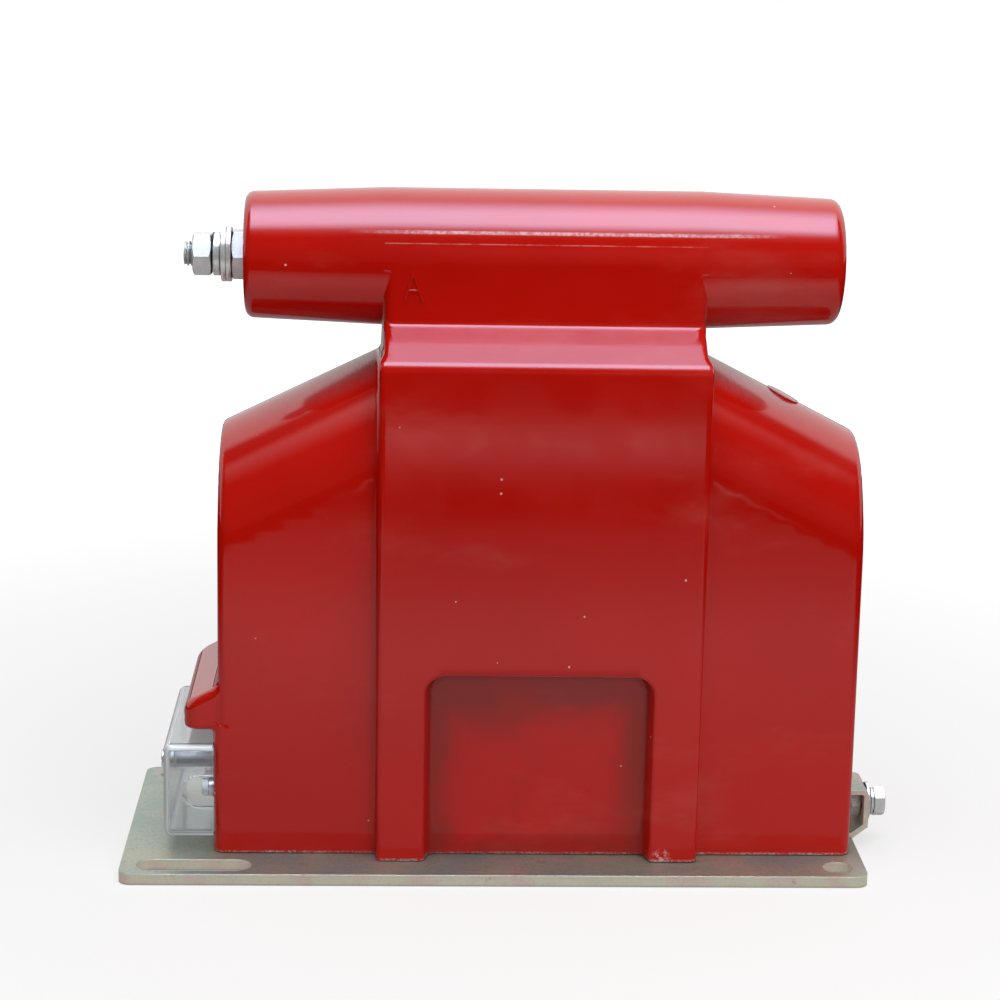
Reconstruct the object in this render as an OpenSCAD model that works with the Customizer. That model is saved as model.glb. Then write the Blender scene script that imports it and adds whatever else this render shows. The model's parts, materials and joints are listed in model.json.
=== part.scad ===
// Cast resin voltage transformer for medium-voltage switchgear.
// The origin is the centre of the base plate's underside, +X points to the earthing end,
// -Y to the front and +Z up. Heights of the body and its contents are above the plate's top.

/* [Base plate] */
// Distance by which the plate stands out past the body at the terminal end
plate_out_terminal = 45; // [43:1:60]
// Distance by which the plate stands out past the body at the earthing end
plate_out_earth = 5; // [4:0.5:8]
// Width of the base plate
plate_w = 148; // [146:1:166]
// Thickness of the base plate
plate_t = 5.5; // [5:0.5:8]
// Corner radius of the base plate
plate_corner_r = 6; // [2:1:9]
// Bore of the two round fixing holes and width of the two slots
fixing_d = 14; // [10:0.5:14]
// Distance from the plate's front and back edges to the middles of the holes and slots
hole_edge = 11.5; // [10:0.5:14]
// Distance from the earthing end of the plate to the centres of the round holes
hole_inset = 13.5; // [11:0.5:16]
// Length of the two slots
slot_l = 54; // [30:1:60]
// Distance from the terminal end of the plate to the ends of the slots
slot_inset = 8; // [6:1:12]

/* [Resin body] */
// Length of the body over the ends of its wings
body_l = 304; // [298:1:306]
// Thickness of the wings that hold the upright limbs of the core
wing_w = 94; // [88:1:96]
// Height of the ridge at the outer end of each wing
wing_end_h = 200.5; // [196:0.5:206]
// Height of the ridge where it meets the central block
wing_top_h = 237.5; // [232:0.5:239]
// Radius of the outer top corner of each wing
wing_nose_r = 2; // [1:0.5:12]
// Radius of the upright edges of the wings
wing_edge_r = 5; // [2:1:8]
// Length of the central block
block_l = 153; // [150:1:158]
// Depth of the central block from front to back
block_w = 114; // [110:1:118]
// Height of the block's front and back top edges
block_h = 239.5; // [239:0.5:244]
// Radius of the block's upright edges
block_edge_r = 5; // [2:1:8]
// Radius of the block's front and back top edges
block_top_r = 5; // [2:1:8]
// Width of the recess in the front and the back of the block
recess_l = 108; // [80:1:120]
// Height of the recess
recess_h = 92; // [60:1:98]
// Depth of the recess
recess_depth = 9.8; // [4:0.2:10]
// Radius of the upper corners of the recess
recess_corner_r = 9.5; // [4:0.5:20]
// Length of the neck between the block and the bar
neck_l = 149; // [130:1:150]
// Height at which the block's top slopes meet the neck
neck_h = 254.5; // [248:0.5:260]
// Radius of the neck's upright edges
neck_edge_r = 4; // [2:1:8]
// Diameter of the round boss on the ridge at the earthing end
boss_d = 17; // [10:1:22]
// Height of the round boss above the ridge
boss_t = 0.8; // [0.6:0.2:3]
// Distance of the boss from the outer end of the wing, along the ridge
boss_inset = 40; // [24:1:60]

/* [High-voltage bar] */
// Length of the bar
bar_l = 280; // [260:1:296]
// Diameter of the bar over the neck
bar_d = 64.8; // [62:0.2:68]
// Diameter of the bar at its ends
bar_end_d = 59.2; // [50:0.2:62]
// Height of the bar's axis
bar_h = 281.5; // [276:0.5:300]
// Radius of the bar's end rims
bar_rim_r = 4; // [2:1:8]

/* [High-voltage terminal] */
// Width across the flats of the hexagonal insert in the end of the bar
hv_insert_af = 22; // [20:0.5:26]
// Length of the insert inside the bar
hv_insert_in = 45; // [30:1:60]
// Length of the insert outside the bar
hv_insert_out = 6.5; // [3:0.5:10]
// Thread diameter of the stud
hv_stud_d = 12; // [8:1:14]
// Length of the stud inside the insert
hv_stud_in = 24; // [16:1:28]
// Length of the stud's bare tip beyond the nut
hv_stud_tip = 4.2; // [2:0.2:10]
// Width across the flats of the nut
hv_nut_af = 19; // [18:0.5:24]
// Height of the nut
hv_nut_t = 9; // [8:0.5:12]
// Outer diameter of each flat washer
hv_washer_d = 26; // [24:0.5:30]
// Thickness of each flat washer
hv_washer_t = 2.4; // [1.5:0.1:3]
// Outer diameter of the spring washer
hv_spring_d = 20.5; // [19:0.5:24]
// Height of the spring washer
hv_spring_t = 4.4; // [3:0.2:6]
// Diameter of the rod from the winding to the insert
hv_lead_d = 5; // [3:0.5:7]
// Diameter of the ball where the rod turns along the bar
hv_ball_d = 12; // [11:0.5:20]

/* [Terminal end] */
// Distance by which the terminal pad stands out of the wing's end
pad_t = 2; // [1:0.5:4]
// Height of the hood's underside, where the terminal pad ends
hood_h = 61; // [58:1:70]
// Distance by which the hood stands out of the wing's end
hood_out = 16; // [8:1:20]
// Width of the hood
hood_w = 90; // [70:1:90]
// Height of the hood's outer lip
hood_lip = 12.5; // [8:0.5:18]
// Rise of the hood's top from its lip to the wing's end
hood_rise = 8.5; // [3:0.5:12]
// Radius of the hood's level outer edges
hood_r = 4; // [2:0.5:4.5]
// Radius of the hood's upright corners
hood_corner_r = 7; // [6:0.5:10]

/* [Terminal cover] */
// Width of the cover
cover_w = 95; // [92:1:98]
// Height of the cover
cover_h = 46.5; // [42:0.5:50]
// Depth of the cover from the pad to its outer face
cover_depth = 23.7; // [20:0.1:30]
// Wall of the cover
cover_wall = 2; // [1.4:0.2:3]
// Radius of the cover's outer edges
cover_r = 4; // [3.2:0.2:6]
// Height of the cover's underside
cover_lift = 7.7; // [4:0.1:12]
// Height of the cable entry in the front wall
entry_h = 15; // [12:0.5:22]
// Depth of the cable entry from the pad
entry_depth = 14.5; // [12:0.1:17]
// Width of the raised rim around the cable entry
entry_rim_w = 0.8; // [0.6:0.2:2]
// Height of the raised rim
entry_rim_t = 0.6; // [0.4:0.1:1]
// Outer diameter of the tube inside the cover that the screw passes
cover_tube_d = 8; // [7.4:0.2:10]
// Thread diameter of the cover's screw
cover_screw_d = 5; // [3:0.5:5]
// Diameter of the cover screw's head
cover_head_d = 9; // [7:0.5:12]
// Height of the cover screw's head
cover_head_t = 4.8; // [3:0.2:7]
// Bore of the cross hole in the head for a seal wire
seal_hole_d = 1.8; // [1:0.2:2.4]
// Length of the cover screw's thread in its insert
cover_grip = 10; // [6:1:12]

/* [Secondary terminals] */
// Height of the lower row of terminals
terminal_h = 29.5; // [26:0.5:34]
// Distance of the inner pair of terminals from the middle
terminal_inner_y = 21; // [20:0.5:22]
// Distance between the inner and the outer terminals
terminal_pitch = 14.5; // [12:0.5:16]
// Height of the neutral terminal above the lower row
neutral_rise = 14.5; // [12:0.5:16]
// Diameter of each cast-in insert
insert_d = 9; // [8:0.5:10]
// Length of each cast-in insert
insert_l = 13; // [11:0.5:13]
// Thread diameter of the terminal screws
terminal_screw_d = 5; // [3:0.5:5]
// Length of the terminal screws' thread in the inserts
terminal_grip = 9; // [6:0.5:10]
// Width across the flats of the terminal screws' heads
terminal_af = 8; // [7:0.5:9]
// Height of the terminal screws' heads
terminal_head_t = 3.5; // [2.5:0.5:5]
// Outer diameter of the terminals' flat washers
terminal_washer_d = 10; // [9:0.5:12]
// Thickness of the terminals' flat washers
terminal_washer_t = 1; // [0.8:0.1:1.6]
// Outer diameter of the terminals' spring washers
terminal_spring_d = 8.6; // [8:0.2:9]
// Height of the terminals' spring washers
terminal_spring_t = 1.6; // [1.2:0.2:2.4]
// Diameter of the insulated leads inside the resin
lead_d = 2.6; // [1.6:0.2:3.2]

/* [Earthing terminal] */
// Thickness of the earthing strap
strap_t = 2.5; // [2:0.1:2.6]
// Width of the earthing strap
strap_w = 26; // [22:1:30]
// Offset of the strap's middle towards the front
strap_offset = 11; // [0:1:12]
// Distance by which the strap stands out of the wing's end
strap_out = 12.5; // [12:0.5:15]
// Height of the strap's top
strap_h = 25; // [25:0.5:28]
// Height at which the strap turns back to the plate
strap_knee = 6; // [5:0.5:6]
// Length of the strap's leg that is cast into the resin
strap_in = 9; // [6:1:12]
// Outer bend radius of the strap
strap_bend_r = 3.5; // [3:0.1:3.5]
// Thread diameter of the earthing bolt
earth_d = 8; // [6:1:8]
// Width across the flats of the earthing bolt's head and of its nut
earth_af = 13; // [11:0.5:13]
// Height of the earthing bolt's head
earth_head_t = 5.4; // [4:0.2:7]
// Height of the nut behind the strap
earth_nut_t = 5.5; // [4:0.5:6]
// Outer diameter of the earthing terminal's flat washer
earth_washer_d = 19; // [17:0.5:21]
// Thickness of the earthing terminal's flat washer
earth_washer_t = 1.6; // [1:0.1:2]
// Outer diameter of the earthing terminal's spring washer
earth_spring_d = 13.6; // [12.6:0.2:16]
// Height of the earthing terminal's spring washer
earth_spring_t = 2.4; // [1.6:0.2:3.2]

/* [Core] */
// Length of the core over its upright limbs
core_l = 262; // [250:1:268]
// Height of the core over its upper and lower limbs
core_h = 155; // [150:1:158]
// Height of the core's underside
core_floor = 24.5; // [20:0.5:28]
// Build-up of the core's strip on every limb
core_build = 30; // [26:1:32]
// Width of the core's strip from front to back
core_strip = 38; // [34:1:39]
// Outer corner radius of the core
core_outer_r = 16; // [10:1:20]
// Inner corner radius of the core
core_inner_r = 4; // [2:1:8]
// Gap between the two halves of the cut core
cut_gap = 0.2; // [0.1:0.1:0.6]
// Width of the steel band around the core
band_w = 16; // [12:1:20]
// Thickness of the steel band
band_t = 0.8; // [0.5:0.1:1.2]
// Length of the clip that closes the band
clip_l = 24; // [16:1:32]
// Thickness of the clip
clip_t = 2.4; // [1.6:0.2:4]
// Width of the strip that earths the core
earth_strip_w = 12; // [8:1:16]
// Thickness of the strip that earths the core
earth_strip_t = 1; // [0.6:0.1:2]

/* [Windings] */
// Wall of the tube that carries the windings
tube_wall = 1.6; // [1.2:0.2:2.4]
// Length of the winding tube over its flanges
tube_l = 126; // [120:1:130]
// Thickness of the tube's flanges
flange_t = 2; // [1.5:0.5:3]
// Thickness of the secondary winding
secondary_t = 2.6; // [2:0.2:3]
// Length of the secondary winding
secondary_l = 116; // [100:1:116]
// Thickness of the residual winding
residual_t = 2; // [1.4:0.2:2.4]
// Length of the residual winding
residual_l = 114; // [100:1:116]
// Wall of the barrier tube between the windings
barrier_wall = 2.4; // [1.6:0.2:3]
// Length of the barrier tube
barrier_l = 120; // [110:1:122]
// Thickness of the primary winding
primary_t = 10; // [7:0.5:10.5]
// Length of the primary winding's innermost layer
primary_l = 104; // [90:1:110]
// Length of the primary winding's outermost layer
primary_top_l = 78; // [60:1:86]
// Length of the shield around the primary winding
shield_l = 60; // [40:1:60]
// Thickness of the shield
shield_t = 1; // [0.6:0.1:1.6]
// Width of the slit that keeps the shield from closing a turn
shield_slit = 4; // [2:0.5:8]

/* [Plate screws] */
// Distance of the plate's screws from the body's centre along the plate
screw_x = 100; // [92:1:104]
// Distance of the plate's screws from the middle across the plate
screw_y = 30; // [30:1:32]
// Thread diameter of the plate's screws
screw_d = 8; // [6:1:8]
// Diameter of the plate screws' countersunk heads
screw_head_d = 15; // [14:0.5:16]
// Length of the plate screws' thread in their inserts
screw_grip = 13; // [8:1:14]
// Diameter of the inserts for the plate's screws
screw_insert_d = 13; // [12:0.5:14]
// Length of the inserts for the plate's screws
screw_insert_l = 18; // [16:1:18]

/* [Fits] */
// Clearance between the resin and what is cast into it
cast_gap = 0.1; // [0.05:0.05:0.2]
// Clearance between neighbouring winding layers, and around the core's limb
winding_gap = 0.3; // [0.2:0.1:0.4]
// Radial clearance of a screw or stud in its tapped hole
thread_gap = 0.05; // [0.02:0.01:0.1]
// Radial clearance of a screw or stud in a plain hole
hole_gap = 0.4; // [0.2:0.1:0.5]

/* [Hidden] */
$fn = 96;

// Colours as the photograph shows them
resin_red = [0.68, 0.06, 0.05];
zinc_olive = [0.66, 0.66, 0.58];
zinc_bright = [0.78, 0.79, 0.80];
brass = [0.78, 0.62, 0.32];
copper = [0.72, 0.42, 0.26];
core_steel = [0.42, 0.44, 0.47];
board_tan = [0.76, 0.66, 0.48];
clear_grey = [0.82, 0.86, 0.86, 0.35];

// Excess by which a cutting shape passes the face that it cuts
over = 1;
// Distance of a hexagon head's round end face inside its flats
hex_face_inset = 0.2;
// Width of the slit in every spring washer, and its slant to the washer's axis
spring_slit_w = 0.6;
spring_slit_angle = 35;
plate_l = body_l + plate_out_terminal + plate_out_earth;
fixing_span = plate_w - 2 * hole_edge;
// Offset of the body's centre from the plate's centre
body_x = (plate_out_terminal - plate_out_earth) / 2;
// Size of a cutting shape that is larger than the whole part
vast = 2 * (plate_l + bar_h);

wing_r = wing_w / 2;
ridge_run = (body_l - block_l) / 2;
ridge_rise = wing_top_h - wing_end_h;
ridge_slope = atan2(ridge_rise, ridge_run);

window_l = core_l - 2 * core_build;
window_h = core_h - 2 * core_build;
coil_h = core_floor + core_h - core_build / 2;

// Radii of the winding layers, each outside the one before
tube_r = norm([core_build, core_strip]) / 2 + winding_gap;
secondary_r = tube_r + tube_wall + winding_gap;
residual_r = secondary_r + secondary_t + winding_gap;
barrier_r = residual_r + residual_t + winding_gap;
primary_r = barrier_r + barrier_wall + winding_gap;
shield_r = primary_r + primary_t + winding_gap;
flange_r = barrier_r + barrier_wall;

// Planes along X, seen from the body's centre
pad_x = -body_l / 2 - pad_t;
bar_end_x = -bar_l / 2;
hv_face_x = bar_end_x - hv_insert_out;
hv_spring_x = hv_face_x - 2 * hv_washer_t;
hv_nut_x = hv_spring_x - hv_spring_t;
hv_tip_x = hv_nut_x - hv_nut_t - hv_stud_tip;
cover_face_x = pad_x - cover_depth;
strap_x = body_l / 2 + strap_out;
earth_h = (strap_knee + strap_h - strap_t / 2) / 2;

terminal_places = [for (side = [-1, 1], step = [0, 1])
                   [side * (terminal_inner_y + step * terminal_pitch), terminal_h]];
neutral_place = [terminal_inner_y + terminal_pitch, terminal_h + neutral_rise];
all_terminals = concat(terminal_places, [neutral_place]);
cover_screw_h = cover_lift + cover_h / 2;
insert_end_x = pad_x + insert_l;
tube_end_x = -tube_l / 2;
neutral_r = primary_r + primary_t - lead_d;

// Angles above the coil's middle line at which the leads leave it
outer_lead_angle = -30;
inner_lead_angle = -8;
neutral_lead_angle = 20;

function unit(v) = v / norm(v);

// Sliver between a corner and the arc that rounds it, to be cut off or filled in
module corner_sliver(corner, from, to, r) {
    a = unit(from - corner);
    b = unit(to - corner);
    half = acos(a * b) / 2;
    centre = corner + unit(a + b) * r / sin(half);
    difference() {
        polygon([corner, corner + a * r / tan(half), centre, corner + b * r / tan(half)]);
        translate(centre) circle(r);
    }
}

// Rectangle with round corners, about its centre
module round_rect(size, r) {
    square([size.x - 2 * r, size.y], center = true);
    square([size.x, size.y - 2 * r], center = true);
    for (x = [-1, 1], y = [-1, 1])
        translate([x * (size.x / 2 - r), y * (size.y / 2 - r)]) circle(r);
}

// Prism on the plate with round upright edges
module round_prism(l, w, h, r) {
    linear_extrude(h) round_rect([l, w], r);
}

// Extrusion along Y of an outline drawn in X and Z
module along_y(w) {
    rotate([90, 0, 0]) linear_extrude(w, center = true) children();
}

// Extrusion along X of an outline drawn in Y and Z
module along_x(l) {
    rotate([90, 0, 90]) linear_extrude(l, center = true) children();
}

// Round bar along +X from the origin
module rod_x(d, l) {
    rotate([0, 90, 0]) cylinder(d = d, h = l);
}

// Hexagonal bar along +X, with a corner upwards or, turned by 90 degrees, to the front
module hex_x(af, l, turn = 90) {
    rotate([turn, 0, 0]) rotate([0, 90, 0]) cylinder(d = af / cos(30), h = l, $fn = 6);
}

// Hexagonal nut or head along +X, its corners turned down to a cone at the outer face
module hex_head_x(af, l, turn = 90) {
    face_r = af / 2 - hex_face_inset;
    intersection() {
        hex_x(af, l, turn);
        rotate([0, 90, 0]) cylinder(r1 = face_r + l, r2 = face_r, h = l);
    }
}

// Flat ring along +X
module ring_x(d, bore, l) {
    difference() {
        rod_x(d, l);
        translate([-over, 0, 0]) rod_x(bore, l + 2 * over);
    }
}

// Split spring washer along +X, with a slanting slit at its top
module spring_ring_x(d, bore, l) {
    difference() {
        ring_x(d, bore, l);
        translate([l / 2, 0, d / 2]) rotate([0, 0, spring_slit_angle])
            cube([3 * l, spring_slit_w, d - bore + over], center = true);
    }
}

// Straight round rod between two points, lengthened by e at each end
module rod_between(from, to, d, e = 0) {
    run = to - from;
    translate(from - e * unit(run)) rotate([0, acos(unit(run).z), atan2(run.y, run.x)])
        cylinder(d = d, h = norm(run) + 2 * e);
}

// Everything in or on the body is placed from the body's centre on the plate's top
module on_body() {
    translate([body_x, 0, plate_t]) children();
}

module base_plate() {
    color(zinc_olive) difference() {
        round_prism(plate_l, plate_w, plate_t, plate_corner_r);
        for (side = [-1, 1]) translate([0, side * fixing_span / 2, -over]) {
            translate([plate_l / 2 - hole_inset, 0, 0])
                cylinder(d = fixing_d, h = plate_t + 2 * over);
            translate([slot_inset - plate_l / 2, 0, 0]) slot_cut();
        }
        at_plate_screws() plate_screw_hole();
    }
}

// Slot along +X from its outer end, with round ends
module slot_cut() {
    first = fixing_d / 2;
    last = slot_l - first;
    for (x = [first, last]) translate([x, 0, 0]) cylinder(d = fixing_d, h = plate_t + 2 * over);
    translate([first, -first, 0]) cube([last - first, fixing_d, plate_t + 2 * over]);
}

module at_plate_screws() {
    for (x = [-1, 1], y = [-1, 1])
        translate([body_x + x * screw_x, y * screw_y, 0]) children();
}

// Countersunk clearance hole through the plate
module plate_screw_hole() {
    translate([0, 0, -over]) cylinder(d = screw_d + 2 * hole_gap, h = plate_t + 2 * over);
    sink_d = screw_head_d + 2 * hole_gap;
    translate([0, 0, -over])
        cylinder(d1 = sink_d + 2 * over, d2 = 0, h = sink_d / 2 + over);
}

module base_screws() {
    color(zinc_bright) at_plate_screws() {
        cylinder(d1 = screw_head_d, d2 = screw_d, h = (screw_head_d - screw_d) / 2);
        cylinder(d = screw_d, h = plate_t + screw_grip);
    }
}

module base_inserts() {
    color(brass) at_plate_screws() translate([0, 0, plate_t]) difference() {
        cylinder(d = screw_insert_d, h = screw_insert_l);
        translate([0, 0, -over])
            cylinder(r = screw_d / 2 + thread_gap, h = screw_grip + 2 * over);
    }
}

// Side view of the wings, with their sloping ridges and round outer top corners
module wing_outline() {
    foot = [body_l / 2, 0];
    nose = [body_l / 2, wing_end_h];
    top = [block_l / 2, wing_top_h];
    difference() {
        polygon([[-foot.x, 0], foot, nose, top, [-top.x, top.y], [-nose.x, nose.y]]);
        for (side = [0, 1]) mirror([side, 0]) corner_sliver(nose, foot, top, wing_nose_r);
    }
}

// Frame whose X points out of the ridge and whose Z runs up along it
module on_ridge() {
    translate([body_l / 2, 0, wing_end_h]) rotate([0, ridge_slope - 90, 0]) children();
}

// Round arch under the ridge of the wing at the earthing end
module wing_arch() {
    on_ridge() translate([-wing_r, 0, -vast / 2]) {
        cylinder(r = wing_r, h = vast);
        translate([-vast, -wing_r - over, 0]) cube([vast, wing_w + 2 * over, vast]);
    }
}

module wings() {
    intersection() {
        along_y(wing_w + 2 * over) wing_outline();
        round_prism(body_l, wing_w, wing_top_h + over, wing_edge_r);
        union() for (side = [0, 1]) mirror([side, 0, 0]) intersection() {
            wing_arch();
            translate([0, -vast / 2, 0]) cube(vast);
        }
    }
}

// End view of the block, with its sloping top
module block_outline() {
    foot = [block_w / 2, 0];
    edge = [block_w / 2, block_h];
    top = [bar_d / 2, neck_h];
    difference() {
        polygon([[-foot.x, 0], foot, edge, top, [-top.x, top.y], [-edge.x, edge.y]]);
        for (side = [0, 1]) mirror([side, 0]) corner_sliver(edge, foot, top, block_top_r);
    }
}

module block() {
    intersection() {
        along_x(block_l + 2 * over) block_outline();
        round_prism(block_l, block_w, neck_h + over, block_edge_r);
    }
}

module recess() {
    difference() {
        translate([-recess_l / 2, -over]) square([recess_l, recess_h + over]);
        for (side = [0, 1]) mirror([side, 0])
            corner_sliver([recess_l / 2, recess_h], [recess_l / 2, 0], [0, recess_h],
                          recess_corner_r);
    }
}

module neck() {
    translate([0, 0, coil_h]) round_prism(neck_l, bar_d, bar_h - coil_h, neck_edge_r);
}

module bar() {
    rim = [bar_end_d / 2, bar_l / 2];
    shoulder = [bar_d / 2, neck_l / 2];
    translate([0, 0, bar_h]) rotate([0, 90, 0]) rotate_extrude() difference() {
        polygon([[0, -rim.y], [rim.x, -rim.y], [shoulder.x, -shoulder.y],
                 shoulder, rim, [0, rim.y]]);
        for (side = [0, 1]) mirror([0, side])
            corner_sliver(rim, shoulder, [0, rim.y], bar_rim_r);
    }
}

// Side view of the hood over the terminals, at the negative end
module hood_outline() {
    inner_x = pad_x + hood_out;
    lip_x = -body_l / 2 - hood_out;
    lip_low = [lip_x, hood_h];
    lip_high = [lip_x, hood_h + hood_lip];
    top = [-body_l / 2, hood_h + hood_lip + hood_rise];
    difference() {
        polygon([[inner_x, hood_h], lip_low, lip_high, top, [inner_x, top.y]]);
        corner_sliver(lip_high, lip_low, top, hood_r);
        corner_sliver(lip_low, [inner_x, hood_h], lip_high, hood_r / 2);
    }
}

module hood() {
    intersection() {
        along_y(hood_w) hood_outline();
        round_prism(body_l + 2 * hood_out, hood_w, hood_h + hood_lip + hood_rise, hood_corner_r);
    }
}

module terminal_pad() {
    intersection() {
        round_prism(body_l + 2 * pad_t, wing_w, hood_h + over, wing_edge_r);
        translate([pad_x, -wing_r, 0]) cube([body_l / 2, wing_w, hood_h + over]);
    }
}

module ridge_boss() {
    on_ridge() translate([-boss_t, 0, boss_inset]) rod_x(boss_d, 2 * boss_t);
}

module resin_body() {
    color(resin_red) on_body() difference() {
        union() {
            wings();
            block();
            neck();
            bar();
            hood();
            terminal_pad();
            ridge_boss();
        }
        for (side = [0, 1]) mirror([0, side, 0])
            translate([0, -block_w / 2 + recess_depth / 2 - over / 2, 0])
                along_y(recess_depth + over) recess();
        core_ring(cast_gap);
        band_ring(cast_gap);
        clip_block(cast_gap);
        strip_block(cast_gap);
        tube_shape(cast_gap);
        barrier_shape(cast_gap);
        primary_shape(cast_gap);
        shield_tube(cast_gap);
        lead_rod(cast_gap);
        hv_insert_bar(cast_gap);
        secondary_wires(cast_gap);
        neutral_wire(cast_gap);
        at_terminals() terminal_insert_rod(cast_gap);
        cover_insert_rod(cast_gap);
        strap_shape(cast_gap);
        translate([-body_x, 0, 0]) at_plate_screws()
            cylinder(r = screw_insert_d / 2 + cast_gap, h = screw_insert_l + cast_gap);
    }
}

// Hexagonal insert in the bar's end, grown by g
module hv_insert_bar(g = 0) {
    translate([hv_face_x - g, 0, bar_h])
        hex_x(hv_insert_af + 2 * g, hv_insert_out + hv_insert_in + 2 * g);
}

module hv_insert() {
    color(zinc_bright) on_body() difference() {
        hv_insert_bar();
        translate([hv_face_x - over, 0, bar_h])
            rod_x(hv_stud_d + 2 * thread_gap, hv_stud_in + 2 * over);
    }
}

module hv_stud() {
    color(zinc_bright) on_body() translate([hv_tip_x, 0, bar_h])
        rod_x(hv_stud_d, hv_face_x - hv_tip_x + hv_stud_in);
}

// Flat washer on the stud, with its outer face at x
module hv_flat_washer(x) {
    color(zinc_bright) on_body() translate([x, 0, bar_h])
        ring_x(hv_washer_d, hv_stud_d + 2 * hole_gap, hv_washer_t);
}

module hv_washer_inner() {
    hv_flat_washer(hv_face_x - hv_washer_t);
}

module hv_washer_outer() {
    hv_flat_washer(hv_spring_x);
}

module hv_spring_washer() {
    color(zinc_bright) on_body() translate([hv_nut_x, 0, bar_h])
        spring_ring_x(hv_spring_d, hv_stud_d + 2 * hole_gap, hv_spring_t);
}

module hv_nut() {
    color(zinc_bright) on_body() translate([hv_nut_x, 0, bar_h]) mirror([1, 0, 0]) difference() {
        hex_head_x(hv_nut_af, hv_nut_t);
        translate([-over, 0, 0]) rod_x(hv_stud_d + 2 * thread_gap, hv_nut_t + 2 * over);
    }
}

// Rod from the shield up the neck, round a ball and along the bar to the insert, grown by g
module lead_rod(g = 0) {
    foot_h = coil_h + shield_r + shield_t;
    inner_x = bar_end_x + hv_insert_in;
    d = hv_lead_d + 2 * g;
    translate([0, 0, foot_h]) cylinder(d = d, h = bar_h - foot_h);
    translate([inner_x, 0, bar_h]) rod_x(d, -inner_x);
    translate([0, 0, bar_h]) sphere(d = hv_ball_d + 2 * g);
}

module hv_lead() {
    color(copper) on_body() lead_rod();
}

// Ring about the coil's axis, grown by g on every side that meets the resin
module coil_ring(r, t, l, g = 0) {
    translate([0, 0, coil_h]) rotate([0, 90, 0]) rotate_extrude()
        translate([r, -l / 2 - g]) square([t + g, l + 2 * g]);
}

module shield_tube(g = 0) {
    coil_ring(shield_r - g, shield_t + g, shield_l, g);
}

module primary_shield() {
    color(copper) on_body() difference() {
        shield_tube();
        translate([-shield_l, -shield_slit / 2, coil_h - shield_r - shield_t - over])
            cube([2 * shield_l, shield_slit, shield_r / 2]);
    }
}

module primary_shape(g = 0) {
    outer_r = primary_r + primary_t + g;
    wide = primary_l / 2 + g;
    narrow = primary_top_l / 2 + g;
    inner_r = g > 0 ? barrier_r : primary_r;
    translate([0, 0, coil_h]) rotate([0, 90, 0]) rotate_extrude()
        polygon([[inner_r, -wide], [primary_r, -wide], [outer_r, -narrow],
                 [outer_r, narrow], [primary_r, wide], [inner_r, wide]]);
}

module primary_winding() {
    color(copper) on_body() primary_shape();
}

module barrier_shape(g = 0) {
    coil_ring(barrier_r, barrier_wall, barrier_l, g);
}

module barrier_tube() {
    color(board_tan) on_body() barrier_shape();
}

module residual_winding() {
    color(copper) on_body() coil_ring(residual_r, residual_t, residual_l);
}

module secondary_winding() {
    color(copper) on_body() coil_ring(secondary_r, secondary_t, secondary_l);
}

// Round tube around the upper limb with a flange at each end; its cavity in the resin is solid
module tube_shape(g = 0) {
    if (g > 0) {
        translate([0, 0, coil_h]) rotate([0, 90, 0])
            cylinder(r = flange_r + g, h = tube_l + 2 * g, center = true);
    } else {
        coil_ring(tube_r, tube_wall, tube_l);
        for (side = [-1, 1]) translate([side * (tube_l - flange_t) / 2, 0, 0])
            coil_ring(tube_r, flange_r - tube_r, flange_t);
    }
}

module winding_tube() {
    color(board_tan) on_body() tube_shape();
}

// Outline of the core from the front, grown by g
module core_ring(g = 0) {
    translate([0, 0, core_floor + core_h / 2]) along_y(core_strip + 2 * g) difference() {
        round_rect([core_l + 2 * g, core_h + 2 * g], core_outer_r + g);
        round_rect([window_l - 2 * g, window_h - 2 * g], core_inner_r);
    }
}

// One half of the cut core, on the side of the sign
module core_half(side) {
    color(core_steel) on_body() intersection() {
        core_ring();
        translate([side * (core_l + cut_gap) / 2, 0, core_floor + core_h / 2])
            cube([core_l, 2 * core_strip, 2 * core_h], center = true);
    }
}

module core_half_left() {
    core_half(-1);
}

module core_half_right() {
    core_half(1);
}

// Steel band around the outside of the core, grown by g
module band_ring(g = 0) {
    t = band_t + g;
    translate([0, 0, core_floor + core_h / 2]) along_y(band_w + 2 * g) difference() {
        round_rect([core_l + 2 * t, core_h + 2 * t], core_outer_r + t);
        round_rect([core_l, core_h], core_outer_r);
    }
}

module core_band() {
    color(zinc_bright) on_body() band_ring();
}

// Clip under the lower limb, grown by g
module clip_block(g = 0) {
    translate([-clip_l / 2 - g, -band_w / 2 - g, core_floor - band_t - clip_t - g])
        cube([clip_l + 2 * g, band_w + 2 * g, clip_t + g]);
}

module band_clip() {
    color(zinc_bright) on_body() clip_block();
}

// Strip from the clip down to the plate, grown by g
module strip_block(g = 0) {
    translate([-earth_strip_t / 2 - g, -earth_strip_w / 2 - g, 0])
        cube([earth_strip_t + 2 * g, earth_strip_w + 2 * g, core_floor - band_t - clip_t]);
}

module core_earth_strip() {
    color(copper) on_body() strip_block();
}

// Point on the end of the coil at x, on a radius r at an angle above the middle line
function coil_point(x, side, angle, r) = [x, side * r * cos(angle), coil_h + r * sin(angle)];

// Lead from the coil to the terminal at a place, cut square at its insert and at from_x
module coil_lead(start, place, from_x, g) {
    intersection() {
        rod_between(start, [insert_end_x, place.x, place.y], lead_d + 2 * g, lead_d);
        translate([insert_end_x, -wing_r, 0]) cube([from_x - insert_end_x, wing_w, vast]);
    }
}

module secondary_wires(g = 0) {
    for (i = [0 : len(terminal_places) - 1]) {
        place = terminal_places[i];
        angle = abs(place.x) > terminal_inner_y ? outer_lead_angle : inner_lead_angle;
        coil_lead(coil_point(tube_end_x, sign(place.x), angle, flange_r - lead_d / 2),
                  place, tube_end_x, g);
    }
}

module secondary_leads() {
    color(copper) on_body() secondary_wires();
}

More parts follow.
